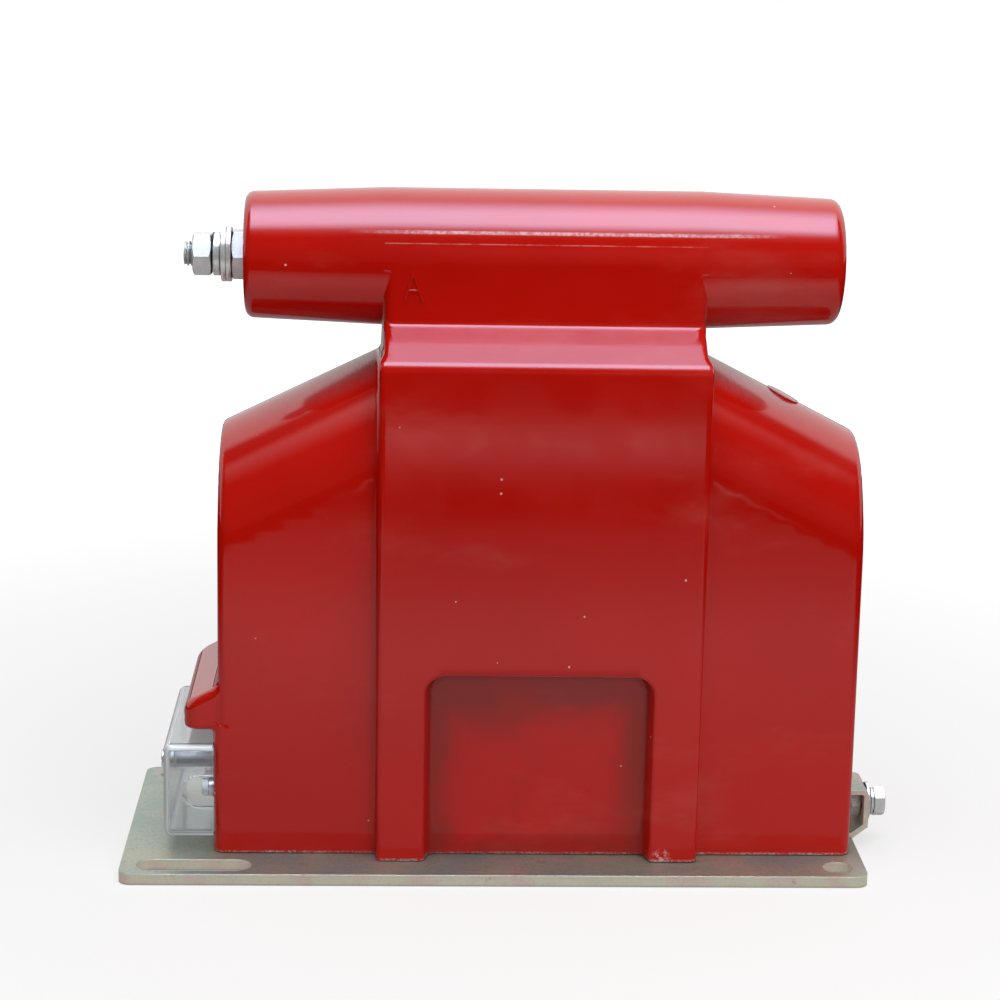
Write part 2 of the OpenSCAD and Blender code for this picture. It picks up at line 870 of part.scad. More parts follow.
// Lead from the earthed end of the primary winding to the neutral terminal
module neutral_wire(g = 0) {
    coil_lead(coil_point(-primary_top_l / 2, 1, neutral_lead_angle, neutral_r),
              neutral_place, -primary_top_l / 2, g);
}

module neutral_lead() {
    color(copper) on_body() difference() {
        neutral_wire();
        primary_shape();
    }
}

module at_terminals() {
    for (place = all_terminals) translate([pad_x, place.x, place.y]) children();
}

module terminal_insert_rod(g = 0) {
    translate([-g, 0, 0]) rod_x(insert_d + 2 * g, insert_l + 2 * g);
}

module terminal_inserts() {
    color(brass) on_body() at_terminals() difference() {
        terminal_insert_rod();
        translate([-over, 0, 0])
            rod_x(terminal_screw_d + 2 * thread_gap, terminal_grip + 2 * over);
    }
}

module terminal_flat_washers() {
    color(zinc_bright) on_body() at_terminals() translate([-terminal_washer_t, 0, 0])
        ring_x(terminal_washer_d, terminal_screw_d + 2 * hole_gap, terminal_washer_t);
}

module terminal_spring_washers() {
    color(zinc_bright) on_body() at_terminals()
        translate([-terminal_washer_t - terminal_spring_t, 0, 0])
            spring_ring_x(terminal_spring_d, terminal_screw_d + 2 * hole_gap, terminal_spring_t);
}

module terminal_screws() {
    color(zinc_bright) on_body() at_terminals() {
        translate([-terminal_washer_t - terminal_spring_t, 0, 0]) mirror([1, 0, 0])
            hex_head_x(terminal_af, terminal_head_t);
        translate([-terminal_washer_t - terminal_spring_t, 0, 0])
            rod_x(terminal_screw_d, terminal_washer_t + terminal_spring_t + terminal_grip);
    }
}

module cover_insert_rod(g = 0) {
    translate([pad_x - g, 0, cover_screw_h]) rod_x(insert_d + 2 * g, insert_l + 2 * g);
}

module cover_insert() {
    color(brass) on_body() difference() {
        cover_insert_rod();
        translate([pad_x - over, 0, cover_screw_h])
            rod_x(cover_screw_d + 2 * thread_gap, cover_grip + 2 * over);
    }
}

// Box with its four long edges and its outer face's edges rounded, open towards the pad
module cover_box(inset) {
    r = cover_r - inset;
    l = cover_depth - inset;
    w = cover_w - 2 * inset;
    h = cover_h - 2 * inset;
    translate([-l, 0, 0]) intersection() {
        translate([l, 0, 0]) along_x(2 * l) round_rect([w, h], r);
        translate([l, 0, 0]) along_y(w) round_rect([2 * l, h], r);
        translate([l, 0, -h / 2]) round_prism(2 * l, w, h, r);
        translate([0, -w / 2, -h / 2]) cube([l + inset, w, h]);
    }
}

// Outline of the cable entry from the front, grown by g
module entry_outline(g = 0) {
    r = entry_h / 2 + g;
    translate([r - g - entry_depth, 0]) circle(r);
    translate([r - g - entry_depth, -r]) square([entry_depth + g - r + over, 2 * r]);
}

module terminal_cover() {
    color(clear_grey) on_body() translate([pad_x, 0, cover_screw_h]) difference() {
        union() {
            difference() {
                cover_box(0);
                cover_box(cover_wall);
            }
            translate([-cover_depth + cover_wall / 2, 0, 0])
                rod_x(cover_tube_d, cover_depth - cover_wall / 2);
            translate([0, -cover_w / 2 - entry_rim_t / 2 + cover_wall / 4, 0]) intersection() {
                along_y(entry_rim_t + cover_wall / 2) entry_outline(entry_rim_w);
                translate([-cover_depth, -cover_w, -cover_h])
                    cube([cover_depth, 2 * cover_w, 2 * cover_h]);
            }
        }
        translate([-cover_depth - over, 0, 0])
            rod_x(cover_screw_d + 2 * hole_gap, cover_depth + 2 * over);
        translate([0, -cover_w / 2, 0]) along_y(4 * cover_wall) entry_outline();
    }
}

// Cheese-head screw with a cross hole for a seal wire
module cover_screw() {
    color(zinc_bright) on_body() translate([cover_face_x, 0, cover_screw_h]) difference() {
        union() {
            translate([-cover_head_t, 0, 0]) rod_x(cover_head_d, cover_head_t);
            rod_x(cover_screw_d, cover_depth + cover_grip);
        }
        translate([-cover_head_t / 2, 0, -cover_head_d])
            cylinder(d = seal_hole_d, h = 2 * cover_head_d);
    }
}

// Side view of the bent strap: a loop that stands on the plate against the wing's end, with
// a leg that is cast into the resin
module strap_outline(g = 0) {
    wall = body_l / 2;
    foot_x = wall + plate_out_earth;
    under = strap_h - strap_t;
    outer = [[wall - strap_in - g, strap_h + g], [strap_x, strap_h + g],
             [strap_x, strap_knee], [foot_x, 0], [wall - g, 0], [wall - g, under - g],
             [wall - strap_in - g, under - g]];
    hollow = [[wall + strap_t, strap_t], [foot_x - strap_t / 2, strap_t],
              [strap_x - strap_t, strap_knee + strap_t / 2], [strap_x - strap_t, under],
              [wall + strap_t, under]];
    difference() {
        polygon(outer);
        polygon(hollow);
        corner_sliver(outer[1], outer[0], outer[2], strap_bend_r);
        corner_sliver(outer[2], outer[1], outer[3], strap_bend_r);
    }
    corner_sliver(hollow[3], hollow[2], hollow[4], strap_bend_r - strap_t);
    corner_sliver(hollow[2], hollow[1], hollow[3], strap_bend_r - strap_t);
}

module strap_shape(g = 0) {
    translate([0, -strap_offset, 0]) along_y(strap_w + 2 * g) strap_outline(g);
}

module at_earth_axis() {
    on_body() translate([strap_x, -strap_offset, earth_h]) children();
}

module earth_strap() {
    color(zinc_olive) difference() {
        on_body() strap_shape();
        at_earth_axis() translate([-strap_t - over, 0, 0])
            rod_x(earth_d + 2 * hole_gap, strap_t + 2 * over);
    }
}

module earth_flat_washer() {
    color(zinc_bright) at_earth_axis()
        ring_x(earth_washer_d, earth_d + 2 * hole_gap, earth_washer_t);
}

module earth_spring_washer() {
    color(zinc_bright) at_earth_axis() translate([earth_washer_t, 0, 0])
        spring_ring_x(earth_spring_d, earth_d + 2 * hole_gap, earth_spring_t);
}

module earth_bolt() {
    head_x = earth_washer_t + earth_spring_t;
    color(zinc_bright) at_earth_axis() {
        translate([head_x, 0, 0]) hex_head_x(earth_af, earth_head_t, 0);
        translate([-strap_t - earth_nut_t, 0, 0])
            rod_x(earth_d, head_x + strap_t + earth_nut_t);
    }
}

module earth_nut() {
    color(zinc_bright) at_earth_axis() translate([-strap_t, 0, 0]) mirror([1, 0, 0]) difference() {
        hex_head_x(earth_af, earth_nut_t);
        translate([-over, 0, 0]) rod_x(earth_d + 2 * thread_gap, earth_nut_t + 2 * over);
    }
}

base_plate();
base_screws();
base_inserts();
resin_body();
hv_insert();
hv_stud();
hv_washer_inner();
hv_washer_outer();
hv_spring_washer();
hv_nut();
hv_lead();
primary_shield();
primary_winding();
barrier_tube();
residual_winding();
secondary_winding();
winding_tube();
core_half_left();
core_half_right();
core_band();
band_clip();
core_earth_strip();
secondary_leads();
neutral_lead();
terminal_inserts();
terminal_flat_washers();
terminal_spring_washers();
terminal_screws();
cover_insert();
terminal_cover();
cover_screw();
earth_strap();
earth_flat_washer();
earth_spring_washer();
earth_bolt();
earth_nut();
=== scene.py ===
"""Cast resin voltage transformer: looks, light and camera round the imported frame."""
import json
import math

import bpy
import numpy as np
from mathutils import Euler, Matrix, Vector


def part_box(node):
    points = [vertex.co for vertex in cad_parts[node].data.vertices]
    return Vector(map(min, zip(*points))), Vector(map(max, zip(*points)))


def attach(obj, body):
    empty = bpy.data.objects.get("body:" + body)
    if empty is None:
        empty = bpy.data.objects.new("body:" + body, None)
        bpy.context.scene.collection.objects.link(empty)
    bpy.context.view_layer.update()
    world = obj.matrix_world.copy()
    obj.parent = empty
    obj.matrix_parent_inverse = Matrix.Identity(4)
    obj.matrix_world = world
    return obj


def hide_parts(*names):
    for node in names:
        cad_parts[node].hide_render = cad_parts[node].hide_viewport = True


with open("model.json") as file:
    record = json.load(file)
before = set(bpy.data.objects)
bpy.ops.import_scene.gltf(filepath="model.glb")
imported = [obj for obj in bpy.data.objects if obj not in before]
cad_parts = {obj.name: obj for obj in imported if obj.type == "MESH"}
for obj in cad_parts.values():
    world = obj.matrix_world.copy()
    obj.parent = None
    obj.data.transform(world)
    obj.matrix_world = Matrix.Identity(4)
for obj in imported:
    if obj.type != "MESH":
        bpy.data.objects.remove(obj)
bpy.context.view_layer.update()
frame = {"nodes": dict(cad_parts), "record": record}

# Sizes in millimetres. Places are taken from the body's centre on the plate's top.
BODY_X = 20.0            # body centre along the plate
PLATE_T = 5.5            # plate thickness
BODY_L, WING_W = 304.0, 94.0
WING_END_H, WING_TOP_H = 200.5, 237.5   # ridge at the terminal end and at the block
EARTH_END_H = 198.9      # ridge at the earthing end
WING_EDGE_R, WING_NOSE_R = 5.0, 1.8     # upright edges, low down and at the ridge
NOSE_FROM, NOSE_TO = 165.0, 200.0   # heights over which the wing's end edge sharpens
BLOCK_L, BLOCK_W, BLOCK_H, BLOCK_R = 153.0, 114.0, 239.5, 2.8
BLOCK_TOP_R, BLOCK_DRAW = 1.0, 4.5  # edge at the neck, height over which the ends draw in
NECK_L, NECK_H, NECK_R = 149.0, 254.5, 4.0
NECK_FOOT = 170.0        # height inside the block from which the neck rises
BAR_L, BAR_D, BAR_END_D, BAR_H, BAR_RIM_R = 280.0, 64.7, 59.1, 281.5, 4.0
BAR_SHORT, BAR_FAR_R = 0.3, 5.0     # the plain end: drawn back, and its rounder rim
CREASE_FROM, CREASE_TO = 262.0, 276.0   # heights over which the crease at the bar fades
RECESS_L, RECESS_H, RECESS_DEPTH, RECESS_R = 108.0, 92.0, 9.8, 9.5
RECESS_LEAN = 2.6        # by which its walls lean in from front to floor
RECESS_EDGE_R, RECESS_FLOOR_R = 1.5, 2.5
PAD_T = 2.0              # pad that carries the secondary terminals
# Hood over the terminals: height of its underside, reach, width, lip and rise to the wing
HOOD_H, HOOD_OUT, HOOD_W, HOOD_LIP, HOOD_RISE = 61.0, 16.0, 90.0, 12.5, 8.5
HOOD_R, HOOD_LOW_R, HOOD_CORNER_R = 4.0, 2.0, 7.0
FILLET_R = 1.8           # between wing and block
CREASE_R = 1.8           # between block and neck, hood and wing
DRAFT, DRAFT_FROM = 0.0036, 30.0    # lean of the end faces above a height
HOOD_BLEND, BLEND_FROM, BLEND_TO = 3.5, 64.0, 70.0  # between hood and wing, with heights
FOOT_LIFT, FOOT_R = 0.05, 0.8       # the casting's underside and its edge
RUN_ON = 3.0             # by which a form runs on into its neighbour
BOSS_D, BOSS_T, BOSS_INSET, BOSS_EDGE, BOSS_ROOT = 17.0, 0.45, 40.0, 0.25, 2.0
MARK_STROKES = (((-61.6, 278.7), (-65.1, 265.6)), ((-61.6, 278.7), (-57.0, 265.4)),
                ((-63.7, 270.4), (-59.5, 270.4)))     # from and to, in X and Z
MARK_LIFT, MARK_HALF = 0.75, 0.45

# High-voltage terminal, along X from the bar's end
INSERT_AF, INSERT_OUT, INSERT_IN = 22.0, 6.5, 45.0
STUD_D, STUD_PITCH, STUD_IN, STUD_TIP = 12.0, 1.75, 24.0, 4.2
NUT_AF, NUT_T = 19.0, 9.0
WASHER_D, WASHER_T = 26.0, 2.4
SPRING_D, SPRING_T = 20.5, 4.4
HOLE_GAP = 0.5

# Terminal cover, from the pad outwards
COVER_W, COVER_H, COVER_DEPTH, COVER_WALL, COVER_R = 95.0, 46.5, 23.7, 2.0, 4.0
COVER_LIFT, TUBE_D, COVER_BORE = 7.7, 8.0, 5.6
ENTRY_H, ENTRY_DEPTH, ENTRY_RIM_W, ENTRY_RIM_T = 15.0, 14.5, 0.8, 0.6
SEAL_D, SEAL_GRIP, SEAL_HEAD_D, SEAL_HEAD_T, SEAL_HOLE_D = 5.0, 10.0, 9.0, 4.8, 1.8
TERMINAL_D, TERMINAL_AF, TERMINAL_HEAD_T, TERMINAL_STACK, TERMINAL_GRIP = 5.0, 8.0, 3.5, 2.6, 9.0
TERMINAL_H, TERMINAL_INNER, TERMINAL_PITCH = 29.5, 21.0, 14.5
TERMINAL_OUTER = TERMINAL_INNER + TERMINAL_PITCH
TERMINALS = [(y, TERMINAL_H)
             for y in (-TERMINAL_OUTER, -TERMINAL_INNER, TERMINAL_INNER, TERMINAL_OUTER)]
TERMINALS.append((TERMINAL_OUTER, TERMINAL_H + TERMINAL_PITCH))
SIN_60 = math.sqrt(0.75)

# Earthing bolt
EARTH_D, EARTH_AF, EARTH_HEAD_T, EARTH_PITCH = 8.0, 13.0, 5.4, 1.25
EARTH_WASHER_D, EARTH_WASHER_T, EARTH_SPRING_D, EARTH_SPRING_T = 19.0, 1.6, 13.6, 2.4
STRAP_T, EARTH_NUT_T = 2.5, 5.5

# Marks and painted light on the casting, in metres in the frame
MIDDLE = BODY_X / 1000
RIDGE_IN, RIDGE_OUT, RIDGE_TOP = 0.079, 0.142, 0.246
CHIP_AT, CHIP_R = (0.0795, -0.057, 0.0072), 0.0060
FOOT_LINE = 0.0074       # top of the residue along the foot
PARTING_H, PARTING_HALF = 0.2974, 0.0745
BAR_HIGHLIGHT_H = 0.3024           # painted highlight along the front of the bar
# reach of the painted shade on the recess's floor: half its length and its top
RECESS_SHADE_HALF, RECESS_SHADE_TOP = 0.0550, 0.0978
SEAM_HALF = 0.0004       # half the width of a mould seam
SEAM_BEFORE = -0.1322    # the seam runs down the end at the cover's side
COVER_SEAM_H = 0.0585    # and over the cover's top

# Light levels, 1 is white
PANEL_LIGHT = 2.45       # radiance of the overhead panel as it lights the object
PANEL_GLOSS = 7.4        # and as gloss shows it
FILL_LIGHT = 3.9         # radiance of the front lamp, which gloss doesn't show
AMBIENT = 0.45
# What gloss sees of the floor, each stop a Y and a level: all along, and in one patch
FLOOR_GLOSS = ((-0.79, 0.0), (-0.66, 0.30), (-0.42, 0.62), (-0.10, 0.40))
STRIP_GLOSS = ((-1.10, 0.0), (-1.05, 0.9), (-1.00, 1.1), (-0.94, 0.40), (-0.87, 0.06),
               (-0.80, 0.0))

# Floor and camera, in metres and degrees
FLOOR_HALF, FLOOR_DROP = 8.0, 0.0003
CAMERA_AT = (-0.045849, -1.209926, 0.466113)
CAMERA_TURN = (76.2163, -1.0641, -1.9883)
CAMERA_LENS, CAMERA_SENSOR = 92.959, 36.0     # millimetres


CORNERS = [(a, b, c) for a in (0, 1) for b in (0, 1) for c in (0, 1)]     # of a grid cell


# Distances and meshes
def clamp01(t):
    return np.clip(t, 0.0, 1.0)


def smooth(a, b, t):
    """0 before a, 1 after b and smooth between."""
    s = clamp01((t - a) / (b - a))
    return s * s * (3 - 2 * s)


def meet(a, b, r):
    """Intersection of two distances with a convex edge of radius r."""
    u, v = np.maximum(r + a, 0), np.maximum(r + b, 0)
    return np.minimum(-r, np.maximum(a, b)) + np.hypot(u, v)


def join(a, b, r):
    """Union of two distances with a concave fillet of radius r."""
    u, v = np.maximum(r - a, 0), np.maximum(r - b, 0)
    return np.maximum(r, np.minimum(a, b)) - np.hypot(u, v)


def plan(ax, ay, l, w, r):
    """Distance to an upright prism l by w with round upright edges."""
    return meet(ax - l / 2, ay - w / 2, r)


def resin_distance(x, y, z):
    """Signed distance from the casting's outer surface, in millimetres."""
    ax, ay = np.abs(x), np.abs(y)
    run, end_h = (BODY_L - BLOCK_L) / 2, np.where(x > 0, EARTH_END_H, WING_END_H)
    slope = np.arctan2(WING_TOP_H - end_h, run)
    over_ridge = (ax - BODY_L / 2) * np.sin(slope) + (z - end_h) * np.cos(slope)
    arch = np.hypot(np.maximum(over_ridge + WING_W / 2, 0), y) - WING_W / 2
    end_r = WING_EDGE_R + (WING_NOSE_R - WING_EDGE_R) * smooth(NOSE_FROM, NOSE_TO, z)
    end = ax + DRAFT * np.maximum(z - DRAFT_FROM, 0) - BODY_L / 2
    wings = np.maximum(meet(end, arch, end_r), z - WING_TOP_H - RUN_ON)
    pad = np.maximum(plan(ax, ay, BODY_L + 2 * PAD_T, WING_W, WING_EDGE_R),
                     np.maximum(z - HOOD_H - RUN_ON, x))
    hood_run = math.hypot(HOOD_OUT, HOOD_RISE)
    roof = ((-x - BODY_L / 2 - HOOD_OUT) * HOOD_RISE
            + (z - HOOD_H - HOOD_LIP) * HOOD_OUT) / hood_run
    hood = meet(plan(ax, ay, BODY_L + 2 * HOOD_OUT, HOOD_W, HOOD_CORNER_R), roof, HOOD_R)
    hood = np.maximum(meet(hood, HOOD_H - z, HOOD_LOW_R), x + BODY_L / 2 - HOOD_OUT)
    blend = CREASE_R + (HOOD_BLEND - CREASE_R) * smooth(BLEND_FROM, BLEND_TO, z)
    blend = blend * (1 - smooth(WING_W / 2 - 3, WING_W / 2 - 0.5, ay)) + 1e-3
    body = join(np.minimum(wings, pad), hood, blend)

    fall_y, fall_z = (BLOCK_W - BAR_D) / 2, NECK_H - BLOCK_H
    fall = math.hypot(fall_y, fall_z)
    top = ((ay - BLOCK_W / 2) * fall_z + (z - BLOCK_H) * fall_y) / fall
    inset = (BLOCK_L - NECK_L) / 2 * smooth(BLOCK_H, BLOCK_H + BLOCK_DRAW, z)
    block = meet(plan(ax + inset, ay, BLOCK_L, BLOCK_W, BLOCK_R), top, BLOCK_R)
    block = meet(block, z - NECK_H, BLOCK_TOP_R)
    body = join(body, block, FILLET_R)

    neck = np.maximum(plan(ax, ay, NECK_L, BAR_D, NECK_R),
                      np.maximum(z - BAR_H, NECK_FOOT - z))
    body = join(body, neck, CREASE_R)

    taper = clamp01((ax - NECK_L / 2) / (BAR_L - NECK_L) * 2)
    bar_r = BAR_D / 2 - taper * (BAR_D - BAR_END_D) / 2
    round_bar = (np.hypot(y, z - BAR_H) - bar_r) * 0.999
    far = x > 0
    bar = meet(round_bar, ax - BAR_L / 2 + far * BAR_SHORT, np.where(far, BAR_FAR_R, BAR_RIM_R))
    corner = CREASE_R * smooth(NECK_L / 2 - 8, NECK_L / 2 - 2, ax)
    corner = corner * (1 - smooth(CREASE_FROM, CREASE_TO, z))
    body = join(body, bar, np.maximum(corner, 1e-3))

    inward = clamp01((BLOCK_W / 2 - ay) / RECESS_DEPTH) * RECESS_LEAN
    recess = plan(ax + inward, np.maximum(z, 0) + 0.2 * inward, RECESS_L, 2 * RECESS_H, RECESS_R)
    recess = meet(recess * math.cos(math.atan(RECESS_LEAN / RECESS_DEPTH)),
                  BLOCK_W / 2 - RECESS_DEPTH - ay, RECESS_FLOOR_R)
    body = meet(body, -recess, RECESS_EDGE_R)
    return meet(body, FOOT_LIFT - z, FOOT_R)


def steps(*runs):
    """Grid lines: start, then pairs of an end and the step up to it."""
    lines, at = [runs[0]], runs[0]
    for end, step in zip(runs[1::2], runs[2::2]):
        n = max(1, round((end - at) / step))
        lines += [at + (end - at) * (i + 1) / n for i in range(n)]
        at = end
    return np.array(lines)


def mirrored(half):
    """Grid lines on both sides of 0 from those on one."""
    return np.concatenate([-half[::-1], half[1:] if half[0] == 0 else half])


def gradient(distance, p, h=0.12):
    """Slope of a distance at points, from steps of h."""
    g = np.empty_like(p)
    for k in range(3):
        e = np.zeros(3)
        e[k] = h
        hi, lo = p + e, p - e
        g[:, k] = (distance(*hi.T) - distance(*lo.T)) / (2 * h)
    return g


def crossed_cells(inside):
    """Grid cells with corners both inside and outside, and their numbers on the grid."""
    shape = tuple(n - 1 for n in inside.shape)
    some = np.zeros(shape, bool)
    every = np.ones(shape, bool)
    for a, b, c in CORNERS:
        part = inside[a:a + shape[0], b:b + shape[1], c:c + shape[2]]
        some |= part
        every &= part
    cells = np.argwhere(some & ~every)
    number = np.full(shape, -1, np.int64)
    number[tuple(cells.T)] = np.arange(len(cells))
    return cells, number


def mean_crossings(d, axes, cells):
    """Mean of the points where the surface crosses each cell's edges."""
    total, hits = np.zeros((len(cells), 3)), np.zeros(len(cells))
    for p in CORNERS:
        for k in range(3):
            if p[k]:
                continue
            q = tuple(1 if m == k else p[m] for m in range(3))
            i, j = cells + p, cells + q
            a, b = d[tuple(i.T)], d[tuple(j.T)]
            cut = (a < 0) != (b < 0)
            t = np.where(cut, a / np.where(cut, a - b, 1), 0)
            point = np.stack([axes[m][i[:, m]] for m in range(3)], 1)
            point[:, k] += t * (axes[k][j[:, k]] - axes[k][i[:, k]])
            total += point * cut[:, None]
            hits += cut
    return total / hits[:, None]


def edge_quads(inside, number):
    """Quad of the four cells round each grid edge that the surface crosses, facing out."""
    quads = []
    for k in range(3):
        m, n = (k + 1) % 3, (k + 2) % 3
        lo = np.moveaxis(inside, k, 0)[:-1]
        hi = np.moveaxis(inside, k, 0)[1:]
        edges = np.argwhere(np.moveaxis(lo != hi, 0, k))
        ok = (edges[:, m] > 0) & (edges[:, m] < inside.shape[m] - 1)
        ok &= (edges[:, n] > 0) & (edges[:, n] < inside.shape[n] - 1)
        edges = edges[ok]
        ring = []
        for u, v in ((-1, -1), (0, -1), (0, 0), (-1, 0)):
            cell = edges.copy()
            cell[:, m] += u
            cell[:, n] += v
            ring.append(number[tuple(cell.T)])
        ring = np.stack(ring, 1)
        rising = inside[tuple(edges.T)]
        quads.append(np.where(rising[:, None], ring, ring[:, ::-1]))
    return np.concatenate(quads)


def surface_net(distance, xs, ys, zs, reach=1.2):
    """Closed quad mesh of distance = 0 on an uneven grid, pulled onto the true surface."""
    d = distance(*np.meshgrid(xs, ys, zs, indexing="ij"))
    inside = d < 0
    cells, number = crossed_cells(inside)
    points = mean_crossings(d, (xs, ys, zs), cells)
    for _ in range(4):
        g = gradient(distance, points)
        s = distance(*points.T)[:, None] * g / np.maximum((g * g).sum(1), 0.05)[:, None]
        size = np.linalg.norm(s, axis=1)[:, None]
        points -= s * np.minimum(1, reach / np.maximum(size, 1e-9))
    g = gradient(distance, points)
    normals = g / np.maximum(np.linalg.norm(g, axis=1)[:, None], 1e-9)
    return points, normals, edge_quads(inside, number)


def to_metres(p):
    """From body millimetres to the frame in metres."""
    return (np.asarray(p, float) + [BODY_X, 0, PLATE_T]) / 1000


def piece(name, points, faces, material, replaces=(), normals=None, sharp=None):
    """New mesh piece from points in metres, on the one body."""
    mesh = bpy.data.meshes.new(name)
    mesh.from_pydata(np.asarray(points).tolist(), [], [list(map(int, f)) for f in faces])
    mesh.validate()
    mesh.polygons.foreach_set("use_smooth", [True] * len(mesh.polygons))
    if sharp is not None:
        mesh.set_sharp_from_angle(angle=math.radians(sharp))
    if normals is not None:
        mesh.normals_split_custom_set_from_vertices(np.asarray(normals).tolist())
    mesh.materials.append(material)
    mesh.update()
    obj = bpy.data.objects.new(name, mesh)
    bpy.context.scene.collection.objects.link(obj)
    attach(obj, "root")
    if replaces:
        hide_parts(*replaces)
    return obj


def weld(points, faces):
    """Join equal points and drop the corners that this makes double."""
    points, index = np.unique(np.round(points, 6), axis=0, return_inverse=True)
    index = index.reshape(-1)
    out = []
    for face in faces:
        ring = [index[i] for i in face]
        ring = [a for a, b in zip(ring, ring[1:] + ring[:1]) if a != b]
        if len(ring) > 2:
            out.append(ring)
    return points, out


def turned(profile, n=72, turn=0.0):
    """Solid turned round X from a closed loop of (x, radius) per angle, with its faces."""
    angles = np.arange(n) * 2 * math.pi / n + math.radians(turn)
    loops = np.array([profile(a - math.radians(turn)) for a in angles], float)
    m = loops.shape[1]
    x, r = loops[..., 0], loops[..., 1]
    points = np.stack([x, r * np.sin(angles)[:, None], r * np.cos(angles)[:, None]], -1)
    faces = [(i * m + j, i * m + (j + 1) % m, (i + 1) % n * m + (j + 1) % m, (i + 1) % n * m + j)
             for i in range(n) for j in range(m)]
    return weld(points.reshape(-1, 3), faces)


def hexagon(angle, af):
    """Radius of a hexagon whose flat faces angle 0."""
    return af / 2 / math.cos((angle + math.pi / 6) % (math.pi / 3) - math.pi / 6)


def nut(af, length, bore, back=True, inner=0.4):
    """Loop of a hexagonal nut or head along +X, with its corners turned down."""
    face_r, tip = 0.472 * af, math.tan(math.radians(28))

    def loop(angle):
        r = hexagon(angle, af)
        lean = (r - face_r) * tip
        front = [(length - lean, r), (length, face_r)]
        rear = [(0, face_r), (lean, r)] if back else [(0, r - 0.3), (0.3, r)]
        hole = [(length, bore + inner), (length - inner, bore), (inner, bore), (0, bore + inner)]
        return rear + front + hole
    return loop


def washer(d, bore, length, edge=0.35):
    """Loop of a flat washer with soft edges."""
    outer, soft = d / 2, edge * 0.3
    half = [(0, bore + soft), (0, outer - edge), (soft, outer - soft), (edge, outer),
            (length - edge, outer), (length - soft, outer - soft), (length, outer - edge),
            (length, bore + soft), (length - soft, bore), (soft, bore)]
    return lambda angle: half


def spring_washer(d, bore, length, rise=1.0, slit=12.0, n=90):
    """Split ring of square section, its ends sprung apart along X."""
    t, b = length - rise, 0.3
    section = [(b, bore), (t - b, bore), (t, bore + b), (t, d / 2 - b), (t - b, d / 2),
               (b, d / 2), (0, d / 2 - b), (0, bore + b)]
    m = len(section)
    points, faces = [], []
    for i in range(n + 1):
        share = i / n
        a = math.radians(slit / 2 + (360 - slit) * share)
        points += [(x + rise * share, r * math.sin(a), r * math.cos(a)) for x, r in section]
    for i in range(n):
        faces += [(i * m + j, i * m + (j + 1) % m, (i + 1) * m + (j + 1) % m, (i + 1) * m + j)
                  for j in range(m)]
    faces += [tuple(range(m))[::-1], tuple(range(n * m, n * m + m))]
    return np.array(points), faces


def thread(d, pitch, length, plain=0.0, n=48, tip=0.9):
    """Threaded rod along +X from its chamfered tip, with a plain rest."""
    depth = 0.3 * pitch
    rings = steps(0.0, length, pitch / 6)
    points = [(0.0, 0.0, 0.0)]
    for x in rings:
        for i in range(n):
            a = i * 2 * math.pi / n
            r = d / 2 - depth * (1 + math.cos(2 * math.pi * (x / pitch - i / n)))
            r = min(r, d / 2 - tip + x)
            points.append((x, r * math.sin(a), r * math.cos(a)))
    last, end = len(rings), length + plain
    for x in (length, end):
        for i in range(n):
            a = i * 2 * math.pi / n
            r = d / 2 - 2 * depth
            points.append((x, r * math.sin(a), r * math.cos(a)))
    points.append((end, 0.0, 0.0))
    faces = []
    for k in range(last + 1):
        row = 1 + k * n
        faces += [(row + i, row + (i + 1) % n, row + n + (i + 1) % n, row + n + i)
                  for i in range(n)]
    faces += [(0, 1 + (i + 1) % n, 1 + i) for i in range(n)]
    row = 1 + (last + 1) * n
    faces += [(len(points) - 1, row + i, row + (i + 1) % n) for i in range(n)]
    return np.array(points), faces


def outward(points, faces):
    """Turn the faces over if the solid is inside out."""
    volume = 0.0
    for f in faces:
        a = points[f[0]]
        for i in range(1, len(f) - 1):
            volume += np.dot(a, np.cross(points[f[i]], points[f[i + 1]]))
    return faces if volume > 0 else [tuple(f)[::-1] for f in faces]


def hardware(name, parts, material, replaces=(), sharp=32):
    """One piece from solids along X, each as (points, faces), its place and its direction."""
    points, faces, start = [], [], 0
    for (p, f), (x, y, z), way in parts:
        moved = np.asarray(p) * [way, 1, 1] + [x, y, z]
        points.append(moved)
        faces += [tuple(i + start for i in g) for g in outward(moved, f)]
        start += len(moved)
    return piece(name, to_metres(np.concatenate(points)), faces, material, replaces,
                 sharp=sharp)


